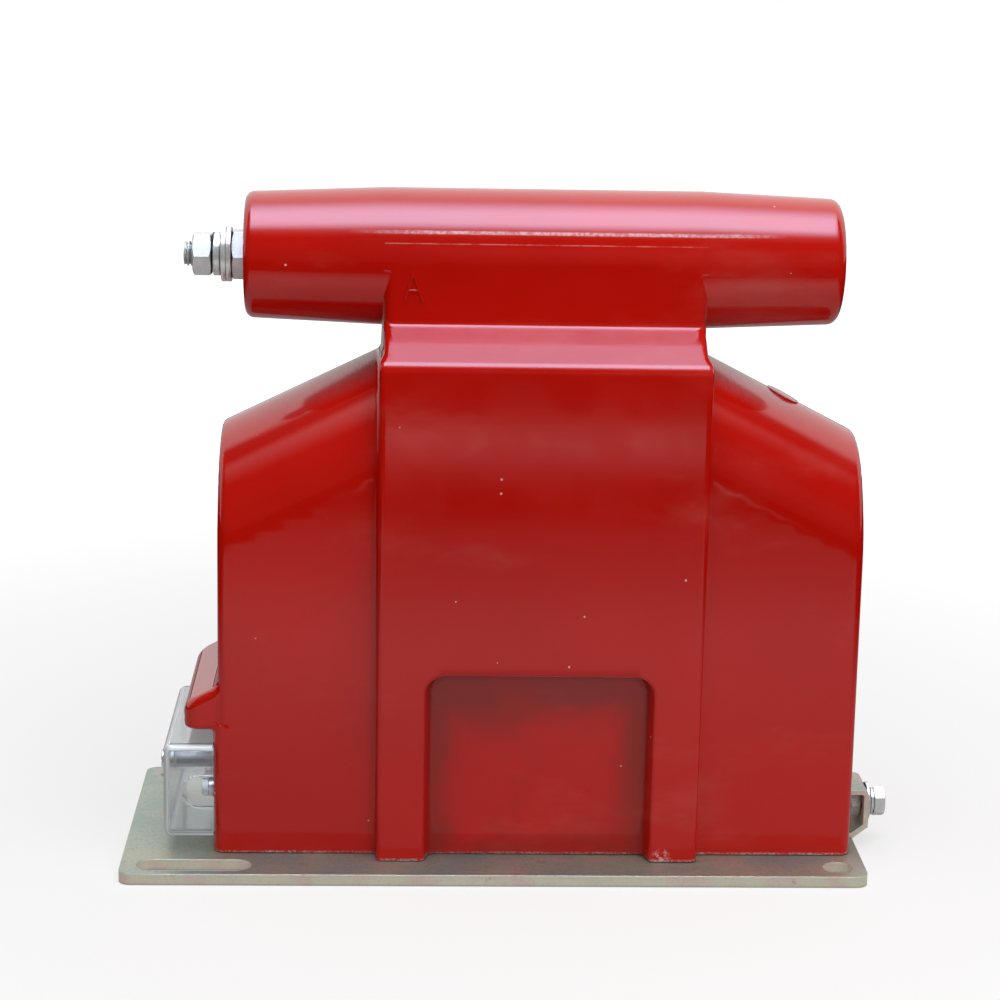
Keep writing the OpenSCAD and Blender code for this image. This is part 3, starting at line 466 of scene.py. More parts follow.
# Material helpers
class Tree:
    """Short way to build a node tree."""

    def __init__(self, tree):
        self.tree = tree
        tree.nodes.clear()

    def node(self, kind, inputs=None, **props):
        """New node, whose inputs are given as links or as plain values."""
        node = self.tree.nodes.new("ShaderNode" + kind)
        for key, value in props.items():
            setattr(node, key, value)
        for key, value in (inputs or {}).items():
            socket = node.inputs[key]
            if isinstance(value, bpy.types.NodeSocket):
                self.tree.links.new(value, socket)
            elif socket.type == "RGBA" and len(value) == 3:
                socket.default_value = (*value, 1)
            else:
                socket.default_value = value
        return node

    def add(self, kind, inputs=None, out=0, **props):
        """New node's output."""
        return self.node(kind, inputs, **props).outputs[out]

    def split(self, vector):
        """X, Y and Z of a vector."""
        return self.node("SeparateXYZ", {0: vector}).outputs

    def math(self, operation, a, b=0.0, c=0.0):
        return self.add("Math", {0: a, 1: b, 2: c}, operation=operation)

    def product(self, first, *rest):
        """Product of several masks."""
        for factor in rest:
            first = self.math("MULTIPLY", first, factor)
        return first

    def off(self, value, middle=0.0):
        """Distance of a value from a middle one."""
        if middle:
            value = self.math("ADD", value, -middle)
        return self.math("ABSOLUTE", value)

    def ramp(self, value, lo, hi, to_lo=0.0, to_hi=1.0):
        """value from lo..hi to to_lo..to_hi, smooth and clamped."""
        return self.add("MapRange", {"Value": value, "From Min": lo, "From Max": hi,
                                     "To Min": to_lo, "To Max": to_hi},
                        interpolation_type="SMOOTHSTEP", clamp=True)

    def mix(self, factor, a, b):
        """Colour between a and b."""
        return self.add("Mix", {0: factor, 6: a, 7: b}, out=2, data_type="RGBA")

    def mix_value(self, factor, a, b):
        return self.add("Mix", {0: factor, 2: a, 3: b})

    def noise(self, coords, scale, detail=3.0, roughness=0.5, distortion=0.0):
        return self.add("TexNoise", {"Vector": coords, "Scale": scale, "Detail": detail,
                                     "Roughness": roughness, "Distortion": distortion})

    def stretched(self, coords, scale, turn=0.0):
        """Coordinates scaled along each axis, and first turned round Y by degrees."""
        return self.add("Mapping", {"Vector": coords, "Scale": scale,
                                    "Rotation": (0, math.radians(turn), 0)})

    def bump(self, strength, distance, height, **inputs):
        return self.add("Bump", {"Strength": strength, "Distance": distance, "Height": height,
                                 **inputs})


def material(name):
    """New material and its tree."""
    m = bpy.data.materials.new(name)
    m.use_nodes = True
    return m, Tree(m.node_tree)


def finish_material(t, **inputs):
    """Principled shader, linked to the output."""
    t.node("OutputMaterial", {"Surface": t.add("BsdfPrincipled", inputs)})


def ridge_dust(t, at, out_x, z):
    """Dull dust where the wings' ridges face up, below the bar."""
    up = t.ramp(t.split(t.add("NewGeometry", out=1))[2], 0.70, 0.94)
    on_wing = t.product(t.ramp(out_x, RIDGE_IN - 0.0025, RIDGE_IN),
                        t.ramp(out_x, RIDGE_OUT, RIDGE_IN + 0.006))
    below_bar = t.math("LESS_THAN", z, RIDGE_TOP)
    ripples = t.noise(t.stretched(at, (5.0, 1.0, 0.6)), 160.0, 3.0, 0.6)
    return t.product(up, on_wing, below_bar, t.ramp(ripples, 0.3, 0.7, 0.7, 1))


def foot_chip(t, at):
    """Pale chip at the foot of the block's right leg."""
    away = t.add("VectorMath", {0: at, 1: CHIP_AT}, out=1, operation="DISTANCE")
    broken = t.ramp(t.noise(at, 420.0, 5.0, 0.75), 0.48, 0.60)
    return t.product(t.ramp(away, CHIP_R, CHIP_R / 2), broken, 0.8)


def foot_residue(t, at, z):
    """Dry white flecks along the foot."""
    foot = t.ramp(z, FOOT_LINE, FOOT_LINE - 0.0014)
    patchy = t.ramp(t.noise(at, 60.0, 3.0), 0.35, 0.6, 0.25, 1)
    flecks = t.ramp(t.noise(at, 1100.0, 4.0, 0.7), 0.44, 0.58)
    return t.product(foot, patchy, flecks, 0.9)


def parting_line(t, at, out_x, z):
    """Faint parting line over the neck."""
    line = t.ramp(t.off(z, PARTING_H), SEAM_HALF, SEAM_HALF / 4)
    broken = t.ramp(t.noise(at, 120.0, 4.0, 0.7), 0.4, 0.6, 0.1, 0.5)
    return t.product(line, t.math("LESS_THAN", out_x, PARTING_HALF), broken)


def bar_painted_highlight(t, at, x, y, z):
    """Painted highlight: a pale line along the front of the bar, fading to its ends."""
    line = t.ramp(t.off(z, BAR_HIGHLIGHT_H), 0.0011, 0.0003)
    broken = t.ramp(t.noise(at, 520.0, 3.0, 0.7), 0.40, 0.6, 0.35, 0.85)
    return t.product(line, t.math("LESS_THAN", y, 0.0), t.ramp(x, -0.075, -0.03),
                     t.ramp(x, 0.135, 0.10), broken)


def recess_painted_shade(t, at, out_x, off_y, z):
    """Painted shade: dark clouds towards the border of the recess's floor, where its walls shade
    it.
    """
    deep = t.product(t.ramp(off_y, 0.0505, 0.0480), t.ramp(out_x, RECESS_SHADE_HALF, RECESS_SHADE_HALF - 0.002),
                     t.math("LESS_THAN", z, RECESS_SHADE_TOP))
    border = t.math("MAXIMUM", t.ramp(out_x, 0.030, 0.052), t.ramp(z, 0.060, 0.090))
    border = t.math("MAXIMUM", border, t.ramp(z, 0.022, 0.008, 0.0, 0.6))
    cloud = t.ramp(t.noise(at, 26.0, 6.0, 0.62, distortion=0.8), 0.25, 0.75, -0.35, 0.35)
    return t.product(deep, t.ramp(t.math("ADD", border, cloud), -0.05, 1.15), 0.60)


def end_seam(t, x, off_y):
    """Mould seam down the end at the cover's side."""
    line = t.ramp(off_y, SEAM_HALF, SEAM_HALF / 4)
    return t.product(line, t.math("LESS_THAN", x, SEAM_BEFORE), 0.6)


def pale_specks(t, at):
    """Small pale specks in a few of a pattern's cells."""
    cells = t.node("TexVoronoi", {"Vector": at, "Scale": 150.0}).outputs
    pick = t.add("SeparateColor", {0: cells["Color"]})
    size = t.ramp(pick, 0.90, 1.0, 0.0, 0.085)
    return t.product(t.math("LESS_THAN", cells["Distance"], size), 0.75)


def resin_material():
    """Glossy red epoxy with haze, dust and the marks of its mould and its use, with painted shade
    in the recess and a painted highlight along the bar.
    """
    m, t = material("red_cast_resin")
    at = t.add("TexCoord", out=3)
    x, y, z = t.split(at)
    out_x, off_y = t.off(x, MIDDLE), t.off(y)
    red = t.mix(t.ramp(t.noise(at, 9.0, 2.0), 0.3, 0.7), (0.47, 0.0048, 0.0016),
                (0.54, 0.0068, 0.0024))
    slant = t.noise(t.stretched(at, (1.0, 1.0, 2.6), 35), 11.0, 6.0, 0.62)
    red = t.mix(t.ramp(slant, 0.52, 0.80, 0.0, 0.17), red, (0.60, 0.16, 0.13))
    dust = ridge_dust(t, at, out_x, z)
    grey = t.mix(t.math("GREATER_THAN", x, MIDDLE), (0.22, 0.19, 0.20), (0.42, 0.34, 0.36))
    marks = ((t.product(dust, 0.7), grey),
             (foot_chip(t, at), (0.78, 0.52, 0.52)),
             (foot_residue(t, at, z), (0.58, 0.54, 0.50)),
             (parting_line(t, at, out_x, z), (0.72, 0.30, 0.28)),
             # painted highlight along the front of the bar
             (bar_painted_highlight(t, at, x, y, z), (0.84, 0.56, 0.62)),
             # painted shade towards the border of the recess's floor
             (recess_painted_shade(t, at, out_x, off_y, z), (0.15, 0.016, 0.010)),
             (end_seam(t, x, off_y), (0.16, 0.004, 0.003)),
             (pale_specks(t, at), (0.80, 0.55, 0.52)))
    for share, tone in marks:
        red = t.mix(share, red, tone)
    rough = t.math("ADD", t.ramp(t.noise(at, 60.0, 4.0), 0.3, 0.7, 0.07, 0.11),
                   t.product(dust, 0.3))
    drawn = t.ramp(t.noise(t.stretched(at, (1.0, 22.0, 22.0)), 16.0, 5.0, 0.6), 0.4, 0.75)
    rough = t.math("MULTIPLY_ADD", drawn, t.ramp(z, 0.290, 0.300, 0.0, 0.10), c=rough)
    peel = t.bump(0.05, 0.00015, t.noise(at, 420.0, 2.0))
    finish_material(t, **{"Base Color": red, "Roughness": rough, "Normal": peel, "IOR": 1.52})
    return m


def soft_edge(t, radius=0.0005):
    """Normal that rounds sharp edges."""
    return t.add("Bevel", {"Radius": radius}, samples=4)


def painted_crevice_shade(t, colour, shade_colour, reach=0.0022):
    """Painted shade: darken a colour where surfaces close in on each other, found by ambient
    occlusion.
    """
    open_share = t.add("AmbientOcclusion", {"Distance": reach}, out=1, samples=6)
    return t.mix(t.ramp(open_share, 0.35, 0.85, 0.85, 0.0), colour, shade_colour)


def plate_material():
    """Yellow zinc plate: grey-green with rosy and straw clouds, paler on its cut edges."""
    m, t = material("yellow_zinc")
    at = t.add("TexCoord", out=3)
    facing = t.split(t.add("NewGeometry", out=1))
    colour = t.mix(t.ramp(t.noise(at, 24.0, 5.0, 0.6), 0.36, 0.64), (0.25, 0.31, 0.27),
                   (0.36, 0.36, 0.26))
    colour = t.mix(t.ramp(t.noise(at, 46.0, 5.0, 0.65, distortion=0.6), 0.52, 0.68, 0.0, 0.7),
                   colour, (0.46, 0.31, 0.29))
    side = t.ramp(t.off(facing[2]), 0.75, 0.35)
    colour = t.mix(t.product(side, 0.9), colour,
                   t.mix(t.ramp(t.noise(at, 60.0, 4.0), 0.4, 0.6), (0.90, 0.86, 0.68),
                         (0.90, 0.73, 0.64)))
    scratch = t.noise(t.stretched(at, (1.0, 12.0, 12.0)), 150.0, 4.0, 0.7)
    colour = t.mix(t.ramp(scratch, 0.62, 0.72, 0.0, 0.35), colour, (0.62, 0.62, 0.58))
    dirt = t.ramp(t.noise(at, 95.0, 6.0, 0.7), 0.58, 0.72, 0.0, 0.5)
    colour = t.mix(dirt, colour, (0.17, 0.16, 0.13))
    grain = t.ramp(t.noise(at, 850.0, 3.0, 0.6), 0.52, 0.68, 0.0, 0.4)
    colour = t.mix(t.product(grain, t.ramp(side, 0, 1, 1, 0.3)), colour, (0.12, 0.12, 0.10))
    # painted shade where surfaces close in on each other
    colour = painted_crevice_shade(t, colour, (0.10, 0.09, 0.07))
    bump = t.bump(0.16, 0.0003, scratch, Normal=soft_edge(t))
    finish_material(t, **{"Base Color": colour, "Metallic": 0.55, "Normal": bump,
                          "Roughness": t.ramp(scratch, 0.3, 0.7, 0.34, 0.5)})
    return m


def zinc_material():
    """Bright zinc with fine scratches and dull specks."""
    m, t = material("bright_zinc")
    at = t.add("TexCoord", out=3)
    colour = t.mix(t.ramp(t.noise(at, 120.0, 4.0), 0.38, 0.62), (0.84, 0.85, 0.84),
                   (0.72, 0.73, 0.73))
    specks = t.ramp(t.noise(at, 900.0, 3.0), 0.60, 0.72, 0.0, 0.4)
    colour = t.mix(specks, colour, (0.34, 0.34, 0.32))
    # painted shade in the gaps between nuts, washers and their neighbours
    colour = painted_crevice_shade(t, colour, (0.05, 0.05, 0.045))
    bump = t.bump(0.12, 0.0002, t.noise(at, 700.0, 3.0), Normal=soft_edge(t, 0.0003))
    finish_material(t, **{"Base Color": colour, "Metallic": 0.45, "Normal": bump,
                          "Roughness": t.ramp(specks, 0.0, 0.4, 0.22, 0.42)})
    return m


def plain_metal(name, tone, dark, rough):
    """Metal of two mottled tones, for the pieces inside."""
    m, t = material(name)
    at = t.add("TexCoord", out=3)
    colour = t.mix(t.ramp(t.noise(at, 90.0, 4.0), 0.35, 0.7), tone, dark)
    bump = t.bump(0.1, 0.0003, t.noise(at, 600.0, 2.0))
    finish_material(t, **{"Base Color": colour, "Metallic": 1.0, "Normal": bump,
                          "Roughness": t.ramp(t.noise(at, 200.0), 0.3, 0.7, rough, rough + 0.12)})
    return m


def board_material():
    """Varnished pressboard with long fibres."""
    m, t = material("pressboard")
    at = t.add("TexCoord", out=3)
    fibre = t.noise(t.stretched(at, (1.0, 6.0, 6.0)), 300.0, 5.0, 0.7)
    colour = t.mix(t.ramp(fibre, 0.3, 0.7), (0.46, 0.33, 0.17), (0.60, 0.46, 0.27))
    bump = t.bump(0.3, 0.0004, fibre)
    finish_material(t, **{"Base Color": colour, "Roughness": t.ramp(fibre, 0.2, 0.8, 0.5, 0.7),
                          "Normal": bump})
    return m


def cover_material():
    """Clear moulding with a seam over its top and pale rounded edges, a painted highlight for the
    bright background that they refract.
    """
    m, t = material("clear_polycarbonate")
    at = t.add("TexCoord", out=3)
    y, z = t.split(at)[1:]
    wave = t.noise(at, 70.0, 2.0)
    tint = t.mix(t.ramp(t.noise(at, 30.0), 0.3, 0.7), (0.95, 0.97, 0.975), (0.90, 0.93, 0.93))
    seam = t.product(t.ramp(t.off(y), SEAM_HALF, SEAM_HALF / 4),
                     t.math("GREATER_THAN", z, COVER_SEAM_H), 0.5)
    tint = t.mix(seam, tint, (0.40, 0.42, 0.42))
    way = t.add("VectorMath", {0: t.add("NewGeometry", out=1)}, operation="ABSOLUTE")
    along, across, up = t.split(way)
    flat = t.math("MAXIMUM", t.math("MAXIMUM", along, across), up)
    clear = t.add("BsdfPrincipled", {
        "Base Color": tint, "Roughness": t.ramp(wave, 0.3, 0.7, 0.05, 0.10),
        "Normal": t.bump(0.05, 0.0005, wave), "Transmission Weight": 0.92, "IOR": 1.40})
    # Painted highlight: a pale, less clear shader on the rounded edges stands in for the bright
    # background seen through them.
    pale = t.add("BsdfPrincipled", {"Base Color": (0.93, 0.95, 0.95), "Roughness": 0.15,
                                    "Transmission Weight": 0.3, "IOR": 1.40})
    edge = t.ramp(flat, 0.985, 0.87, 0.0, 0.8)
    t.node("OutputMaterial", {"Surface": t.add("MixShader", {0: edge, 1: clear, 2: pale})})
    return m


RESIN = resin_material()
OLIVE = plate_material()
BRIGHT = zinc_material()
BRASS = plain_metal("brass", (0.72, 0.53, 0.22), (0.55, 0.38, 0.14), 0.28)
COPPER = plain_metal("enamelled_copper", (0.62, 0.27, 0.13), (0.45, 0.17, 0.08), 0.3)
CORE = plain_metal("core_steel", (0.30, 0.32, 0.34), (0.20, 0.21, 0.23), 0.4)
BOARD = board_material()
CLEAR = cover_material()
BY_SLOT = {"red_resin": RESIN, "olive_zinc": OLIVE, "bright_zinc": BRIGHT, "clear_cover": CLEAR,
           "brass": BRASS, "copper": COPPER, "pressboard": BOARD, "core_steel": CORE}

for part in frame["record"]["subparts"]:
    node = frame["nodes"][part["node"]]
    node.data.materials.clear()
    node.data.materials.append(BY_SLOT[part["material_slot"]])
    node.data.set_sharp_from_angle(angle=math.radians(28))


# Resin body and the pieces on it
def build_resin():
    """The casting's skin. Its grid is fine at edges and fillets and coarse on flat stretches."""
    left = steps(-BODY_L / 2 - HOOD_OUT - 1, -149.0, 1.0, -142.0, 2.3, -134.5, 1.25,
                 -84.0, 3.4, -72.0, 0.9, -56.5, 3.2, -41.0, 1.1, 0.0, 7.0)
    right = steps(0.0, 41.0, 7.0, 56.5, 1.1, 72.0, 3.2, 84.0, 0.9, 134.5, 3.4, 153.2, 1.3)
    half = steps(0.0, 26.0, 1.8, 34.0, 0.9, 41.0, 1.9, 57.8, 1.1)
    up = steps(-0.6, 2.4, 0.5, 14.0, 3.5, 58.0, 5.5, 78.4, 1.25, 93.6, 1.05, 186.0, 6.2,
               212.0, 1.9, 234.0, 2.0, 257.0, 1.15, 316.0, 1.5)
    points, normals, quads = surface_net(
        resin_distance, np.concatenate([left, right[1:]]), mirrored(half), up)
    piece("resin_skin", to_metres(points), quads, RESIN, ["resin_body"], normals)


def build_boss():
    """Round boss on the ridge at the earthing end, slightly dished."""
    run, rise = (BODY_L - BLOCK_L) / 2, WING_TOP_H - EARTH_END_H
    tilt = math.atan2(rise, run)
    r, e = BOSS_D / 2, BOSS_EDGE
    loop = [(-BOSS_ROOT, 0.0), (-BOSS_ROOT, r), (BOSS_T - e, r), (BOSS_T - e * 0.3, r - e * 0.3),
            (BOSS_T, r - e), (BOSS_T - 0.15, r - 2.2), (BOSS_T - 0.2, 0.0)]
    points, faces = turned(lambda angle: loop)
    along, across, out = points.T
    c, d = math.cos(tilt), math.sin(tilt)
    foot = [BODY_L / 2 - BOSS_INSET * c, 0, EARTH_END_H + BOSS_INSET * d]
    moved = np.stack([along * d - out * c, across, along * c + out * d], 1) + foot
    piece("ridge_boss", to_metres(moved), outward(moved, faces), RESIN, sharp=35)


def build_mark():
    """Raised letter that marks the high-voltage end, as three thin strokes on the neck."""
    face = BAR_D / 2

    def distance(x, y, z):
        flat = np.full(x.shape, 99.0)
        for (ax, az), (bx, bz) in MARK_STROKES:
            ux, uz = bx - ax, bz - az
            t = clamp01(((x - ax) * ux + (z - az) * uz) / (ux * ux + uz * uz))
            flat = np.minimum(flat, np.hypot(x - ax - t * ux, z - az - t * uz))
        return meet(flat - MARK_HALF, np.abs(y + face) - MARK_LIFT, 0.15)
    points, normals, quads = surface_net(
        distance, steps(-66.5, -55.5, 0.28), steps(-face - 1.2, -face + 0.9, 0.21),
        steps(264.2, 280.0, 0.28), 0.3)
    mark = piece("high_voltage_mark", to_metres(points), quads, RESIN,
                 normals=normals)
    # Its reflection in the slope below would show as a dark spot
    mark.visible_glossy = False


def build_hv_terminal():
    """Insert, stud, two flat washers, spring washer and nut on the bar's end."""
    face = -BAR_L / 2 - INSERT_OUT
    outer = face - 2 * WASHER_T
    nut_at = outer - SPRING_T
    tip = nut_at - NUT_T - STUD_TIP
    bore = STUD_D / 2 + HOLE_GAP
    rod = face + 2 - tip

    def at(x):
        return x, 0, BAR_H
    hardware("terminal_insert", [(turned(nut(INSERT_AF, INSERT_OUT + INSERT_IN, STUD_D / 2)),
                                  at(face + INSERT_OUT + INSERT_IN), -1)],
             BRIGHT, ["hv_insert"])
    hardware("terminal_stud", [(thread(STUD_D, STUD_PITCH, rod, face + STUD_IN - tip - rod),
                                at(tip), 1)], BRIGHT, ["hv_stud"], sharp=60)
    hardware("terminal_washers", [(turned(washer(WASHER_D, bore, WASHER_T)), at(face), -1),
                                  (turned(washer(WASHER_D, bore, WASHER_T)), at(outer), 1)],
             BRIGHT, ["hv_washer_inner", "hv_washer_outer"])
    hardware("terminal_spring", [(spring_washer(SPRING_D, bore, SPRING_T), at(nut_at), 1)],
             BRIGHT, ["hv_spring_washer"])
    hardware("terminal_nut", [(turned(nut(NUT_AF, NUT_T, STUD_D / 2)), at(nut_at), -1)],
             BRIGHT, ["hv_nut"])


def build_earth_terminal():
    """Bolt, washers and nut of the earthing strap."""
    low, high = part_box("earth_flat_washer")
    x = low.x * 1000 - BODY_X
    y, z = (low.y + high.y) * 500, (low.z + high.z) * 500 - PLATE_T
    bore = EARTH_D / 2 + HOLE_GAP
    head = x + EARTH_WASHER_T + EARTH_SPRING_T
    back = x - STRAP_T - EARTH_NUT_T
    closed_head = turned(nut(EARTH_AF, EARTH_HEAD_T, 0.0, back=False, inner=0.0), turn=30)
    hardware("earth_screw", [(closed_head, (head, y, z), 1),
                             (thread(EARTH_D, EARTH_PITCH, head - back - 0.02), (back, y, z), 1)],
             BRIGHT, ["earth_bolt"])
    hardware("earth_washers", [(turned(washer(EARTH_WASHER_D, bore, EARTH_WASHER_T)),
                                (x, y, z), 1)], BRIGHT, ["earth_flat_washer"])
    hardware("earth_spring", [(spring_washer(EARTH_SPRING_D, bore, EARTH_SPRING_T, 0.7),
                               (x + EARTH_WASHER_T, y, z), 1)],
             BRIGHT, ["earth_spring_washer"])
    hardware("earth_back_nut", [(turned(nut(EARTH_AF, EARTH_NUT_T, EARTH_D / 2)),
                                 (x - STRAP_T, y, z), -1)], BRIGHT, ["earth_nut"])


def build_cover():
    """Clear terminal cover: rounded box with a screw tube and a rimmed cable entry."""
    pad, mid = -BODY_L / 2 - PAD_T, COVER_LIFT + COVER_H / 2
    front = COVER_W / 2

    def shell(x, y, z, inset):
        r = COVER_R - inset
        out = -COVER_DEPTH + inset - x
        flat = meet(np.abs(y) - front + inset, np.abs(z) - COVER_H / 2 + inset, r)
        return meet(flat, out, r)

    def distance(x, y, z):
        x, z = x - pad, z - mid
        d = np.maximum(shell(x, y, z, 0.0), -shell(x, y, z, COVER_WALL))
        d = np.maximum(d, x)
        tube = np.maximum(np.hypot(y, z) - TUBE_D / 2,
                          np.maximum(-COVER_DEPTH + COVER_WALL / 2 - x, x))
        d = join(d, tube, 0.8)
        r = ENTRY_H / 2
        hole = np.hypot(np.minimum(x + ENTRY_DEPTH - r, 0), z) - r
        rim = np.maximum(hole - ENTRY_RIM_W, np.abs(y + front) - ENTRY_RIM_T)
        rim = np.maximum(rim, x)
        d = np.minimum(d, rim)
        d = meet(d, -np.maximum(hole, y + front - 2 * COVER_WALL), 0.3)
        return np.maximum(d, -(np.hypot(y, z) - COVER_BORE / 2))
    xs = steps(pad - COVER_DEPTH - 0.9, pad - 19.0, 0.7, pad + 0.5, 0.75)
    ys = steps(-front - 1.4, -front + 0.9, 0.3, -front + 6.0, 0.8, -6.0, 3.2, 6.0, 0.85,
               front - 6.0, 3.4, front + 1.0, 0.8)
    zs = steps(mid - COVER_H / 2 - 1, mid - 17.0, 0.75, mid - 10.0, 1.6, mid + 10.0, 0.72,
               mid + 17.0, 1.6, mid + COVER_H / 2 + 1, 0.75)
    points, normals, quads = surface_net(distance, xs, ys, zs, 0.6)
    piece("cover_shell", to_metres(points), quads, CLEAR, ["terminal_cover"],
          normals)


def build_seal_screw():
    """Cheese-head screw of the cover, slotted and cross-bored for a seal wire."""
    x0 = -BODY_L / 2 - PAD_T - COVER_DEPTH
    z0 = COVER_LIFT + COVER_H / 2
    end = COVER_DEPTH + SEAL_GRIP

    def distance(x, y, z):
        x, z = x - x0, z - z0
        head = np.abs(x + SEAL_HEAD_T / 2) - SEAL_HEAD_T / 2
        d = meet(np.hypot(y, z) - SEAL_HEAD_D / 2, head, 0.5)
        d = np.maximum(d, -np.maximum(np.abs(z) - 0.6, x + SEAL_HEAD_T - 1.2))
        d = np.maximum(d, -(np.hypot(x + SEAL_HEAD_T / 2, y) - SEAL_HOLE_D / 2))
        shank = np.maximum(np.hypot(y, z) - SEAL_D / 2, np.maximum(-x - 0.5, x - end))
        return np.minimum(d, shank)
    points, normals, quads = surface_net(
        distance, steps(x0 - 5.4, x0 + 0.6, 0.34, x0 + end + 0.8, 1.5),
        steps(-5.1, 5.1, 0.36), steps(z0 - 5.1, z0 + 5.1, 0.36), 0.3)
    piece("seal_screw", to_metres(points), quads, BRIGHT, ["cover_screw"], normals)


def build_terminal_screws():
    """Slotted hexagonal screws of the secondary terminals and the neutral."""
    half = TERMINAL_AF / 2

    def distance(x, y, z):
        flats = np.maximum(np.abs(z), np.maximum(np.abs(y * SIN_60 + z / 2),
                                                 np.abs(y * SIN_60 - z / 2)))
        d = meet(flats - half, np.abs(x - TERMINAL_HEAD_T / 2) - TERMINAL_HEAD_T / 2, 0.25)
        d = np.maximum(d, (np.hypot(y, z) - half + 0.15 - x) * 0.7)
        d = np.maximum(d, -np.maximum(np.abs(y) - 0.55, x - 1.3))
        shank = np.maximum(np.hypot(y, z) - TERMINAL_D / 2,
                           np.maximum(1 - x, x - TERMINAL_HEAD_T - TERMINAL_STACK
                                      - TERMINAL_GRIP))
        return np.minimum(d, shank)
    points, normals, quads = surface_net(
        distance, steps(-0.5, TERMINAL_HEAD_T + 0.4, 0.36, 16.0, 1.5),
        steps(-5.2, 5.2, 0.4), steps(-4.8, 4.8, 0.4), 0.3)
    x0 = -BODY_L / 2 - PAD_T - TERMINAL_STACK - TERMINAL_HEAD_T
    every = [points + [x0, y, z] for y, z in TERMINALS]
    faces = np.concatenate([quads + i * len(points) for i in range(len(TERMINALS))])
    piece("slotted_screws", to_metres(np.concatenate(every)), faces, BRIGHT,
          ["terminal_screws"], np.concatenate([normals] * len(TERMINALS)))


build_resin()
build_boss()
build_mark()
build_hv_terminal()
build_earth_terminal()
build_cover()
build_seal_screw()
build_terminal_screws()


# Floor, light and camera
def bands(t, y, stops):
    """Level by Y on the floor, from stops of a place and a level."""
    reach = 1.2
    share = t.math("MULTIPLY_ADD", y, 1 / reach, c=1.0)
    node = t.node("ValToRGB", {0: share})
    node.color_ramp.interpolation = "EASE"
    while len(node.color_ramp.elements) < len(stops):
        node.color_ramp.elements.new(0.5)
    for stop, (at, level) in zip(node.color_ramp.elements, stops):
        stop.position = (at + reach) / reach
        stop.color = (level, level, level, 1)
    return node.outputs[0]


def seen_directly(t, rays):
    """1 for rays from the camera and for those through clear material."""
    return t.math("MAXIMUM", rays["Is Camera Ray"], rays["Is Transmission Ray"])


def build_floor():
    """Pale floor. Gloss sees it lit near the object, then dim, then lit in one patch."""
    s, low = FLOOR_HALF, -FLOOR_DROP
    mesh = bpy.data.meshes.new("floor")
    mesh.from_pydata([(-s, -s, low), (s, -s, low), (s, s, low), (-s, s, low)], [], [(0, 1, 2, 3)])
    floor = bpy.data.objects.new("floor", mesh)
    bpy.context.scene.collection.objects.link(floor)
    m, t = material("pale_floor")
    rays = t.node("LightPath").outputs
    at = t.add("TexCoord", out=3)
    x, y = t.split(at)[:2]
    away = t.add("VectorMath", {0: at}, out=1, operation="LENGTH")
    lift = t.product(t.ramp(away, 0.20, 1.3, 0.62, 1.05), seen_directly(t, rays))
    matte = t.add("BsdfDiffuse", {"Color": (0.36, 0.36, 0.36)})
    glow = t.add("Emission", {"Color": (1, 1, 1), "Strength": lift})
    near, strip = [bands(t, y, stops) for stops in (FLOOR_GLOSS, STRIP_GLOSS)]
    patch = t.product(t.ramp(x, -0.13, -0.05), t.ramp(x, 0.36, 0.20))
    level = t.product(t.math("MULTIPLY_ADD", strip, patch, c=near), t.ramp(t.off(x), 0.62, 0.38))
    gloss = t.add("Emission", {"Color": (1, 1, 1), "Strength": level})
    seen = t.add("AddShader", {0: matte, 1: glow})
    t.node("OutputMaterial", {"Surface": t.add("MixShader", {
        0: rays["Is Glossy Ray"], 1: seen, 2: gloss})})
    mesh.materials.append(m)


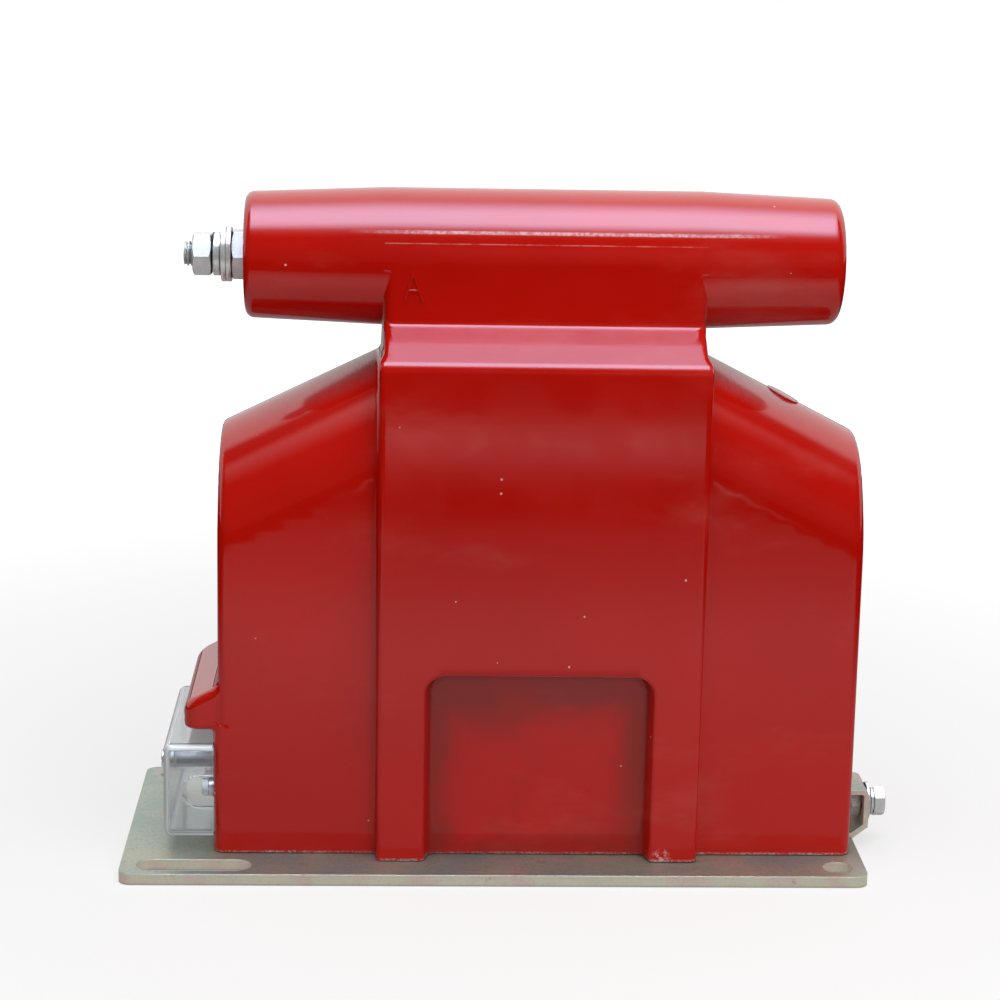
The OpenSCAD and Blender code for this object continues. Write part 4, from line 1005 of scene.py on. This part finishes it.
def build_studio():
    """White studio. Gloss sees a soft panel above a dim front in it."""
    world = bpy.data.worlds.new("studio")
    bpy.context.scene.world = world
    world.use_nodes = True
    t = Tree(world.node_tree)
    rays = t.node("LightPath").outputs
    x, y, z = t.split(t.add("TexCoord", out=0))
    aside = t.off(x)
    front = t.ramp(y, 0.15, -0.15)
    ceiling = t.mix_value(front, t.ramp(z, 0.0, 0.9, 1.0, 1.8), t.ramp(z, 0.62, 0.95, 0.05, 1.6))
    spot = t.add("CombineXYZ", {0: aside, 1: y, 2: z})
    spot = t.add("VectorMath", {0: spot, 1: (0.60, 0.0, 0.80)}, out=1, operation="DISTANCE")
    ceiling = t.product(ceiling, t.ramp(spot, 0.10, 0.30, 0.08, 1.0))
    lean = t.math("ARCTAN2", z, t.product(y, -1.0))
    panel = t.product(t.ramp(lean, math.radians(50), math.radians(68)),
                      t.ramp(lean, math.radians(118), math.radians(80)),
                      t.ramp(aside, 0.45, 0.28))
    tone = t.mix(t.ramp(panel, 0.0, 0.2), (1.0, 1.0, 1.0), (0.78, 0.95, 1.30))
    level = t.math("ADD", ceiling, t.product(panel, PANEL_GLOSS))
    gloss = t.add("Background", {"Color": tone, "Strength": level})
    level = t.mix_value(seen_directly(t, rays), AMBIENT, 1.0)
    plain = t.add("Background", {"Color": (1, 1, 1), "Strength": level})
    t.node("OutputWorld", {"Surface": t.add("MixShader", {
        0: rays["Is Glossy Ray"], 1: plain, 2: gloss})})


def soft_lamp(name, level, width, height, place, turn=(0, 0, 0)):
    """Area lamp of a given radiance, which gloss doesn't show."""
    lamp = bpy.data.lights.new(name, "AREA")
    lamp.shape = "RECTANGLE"
    lamp.size, lamp.size_y = width, height
    lamp.energy = level * math.pi * width * height
    obj = bpy.data.objects.new(name, lamp)
    obj.location = place
    obj.rotation_euler = [math.radians(a) for a in turn]
    obj.visible_glossy = False
    bpy.context.scene.collection.objects.link(obj)


def build_camera():
    """The photograph's view, fitted to the plate, the body and the bar."""
    data = bpy.data.cameras.new("camera")
    data.lens, data.sensor_width = CAMERA_LENS, CAMERA_SENSOR
    data.clip_start, data.clip_end = 0.01, 50.0
    eye = bpy.data.objects.new("camera", data)
    turn = Euler([math.radians(a) for a in CAMERA_TURN])
    eye.matrix_world = Matrix.LocRotScale(Vector(CAMERA_AT), turn, None)
    bpy.context.scene.collection.objects.link(eye)
    bpy.context.scene.camera = eye


build_floor()
build_studio()
soft_lamp("softbox", PANEL_LIGHT, 1.5, 1.0, (0.2, -0.42, 1.5))
soft_lamp("front_fill", FILL_LIGHT, 1.4, 0.9, (0.75, -2.3, 0.95), (70, 0, 18))
build_camera()
bpy.context.scene.view_settings.view_transform = "Standard"
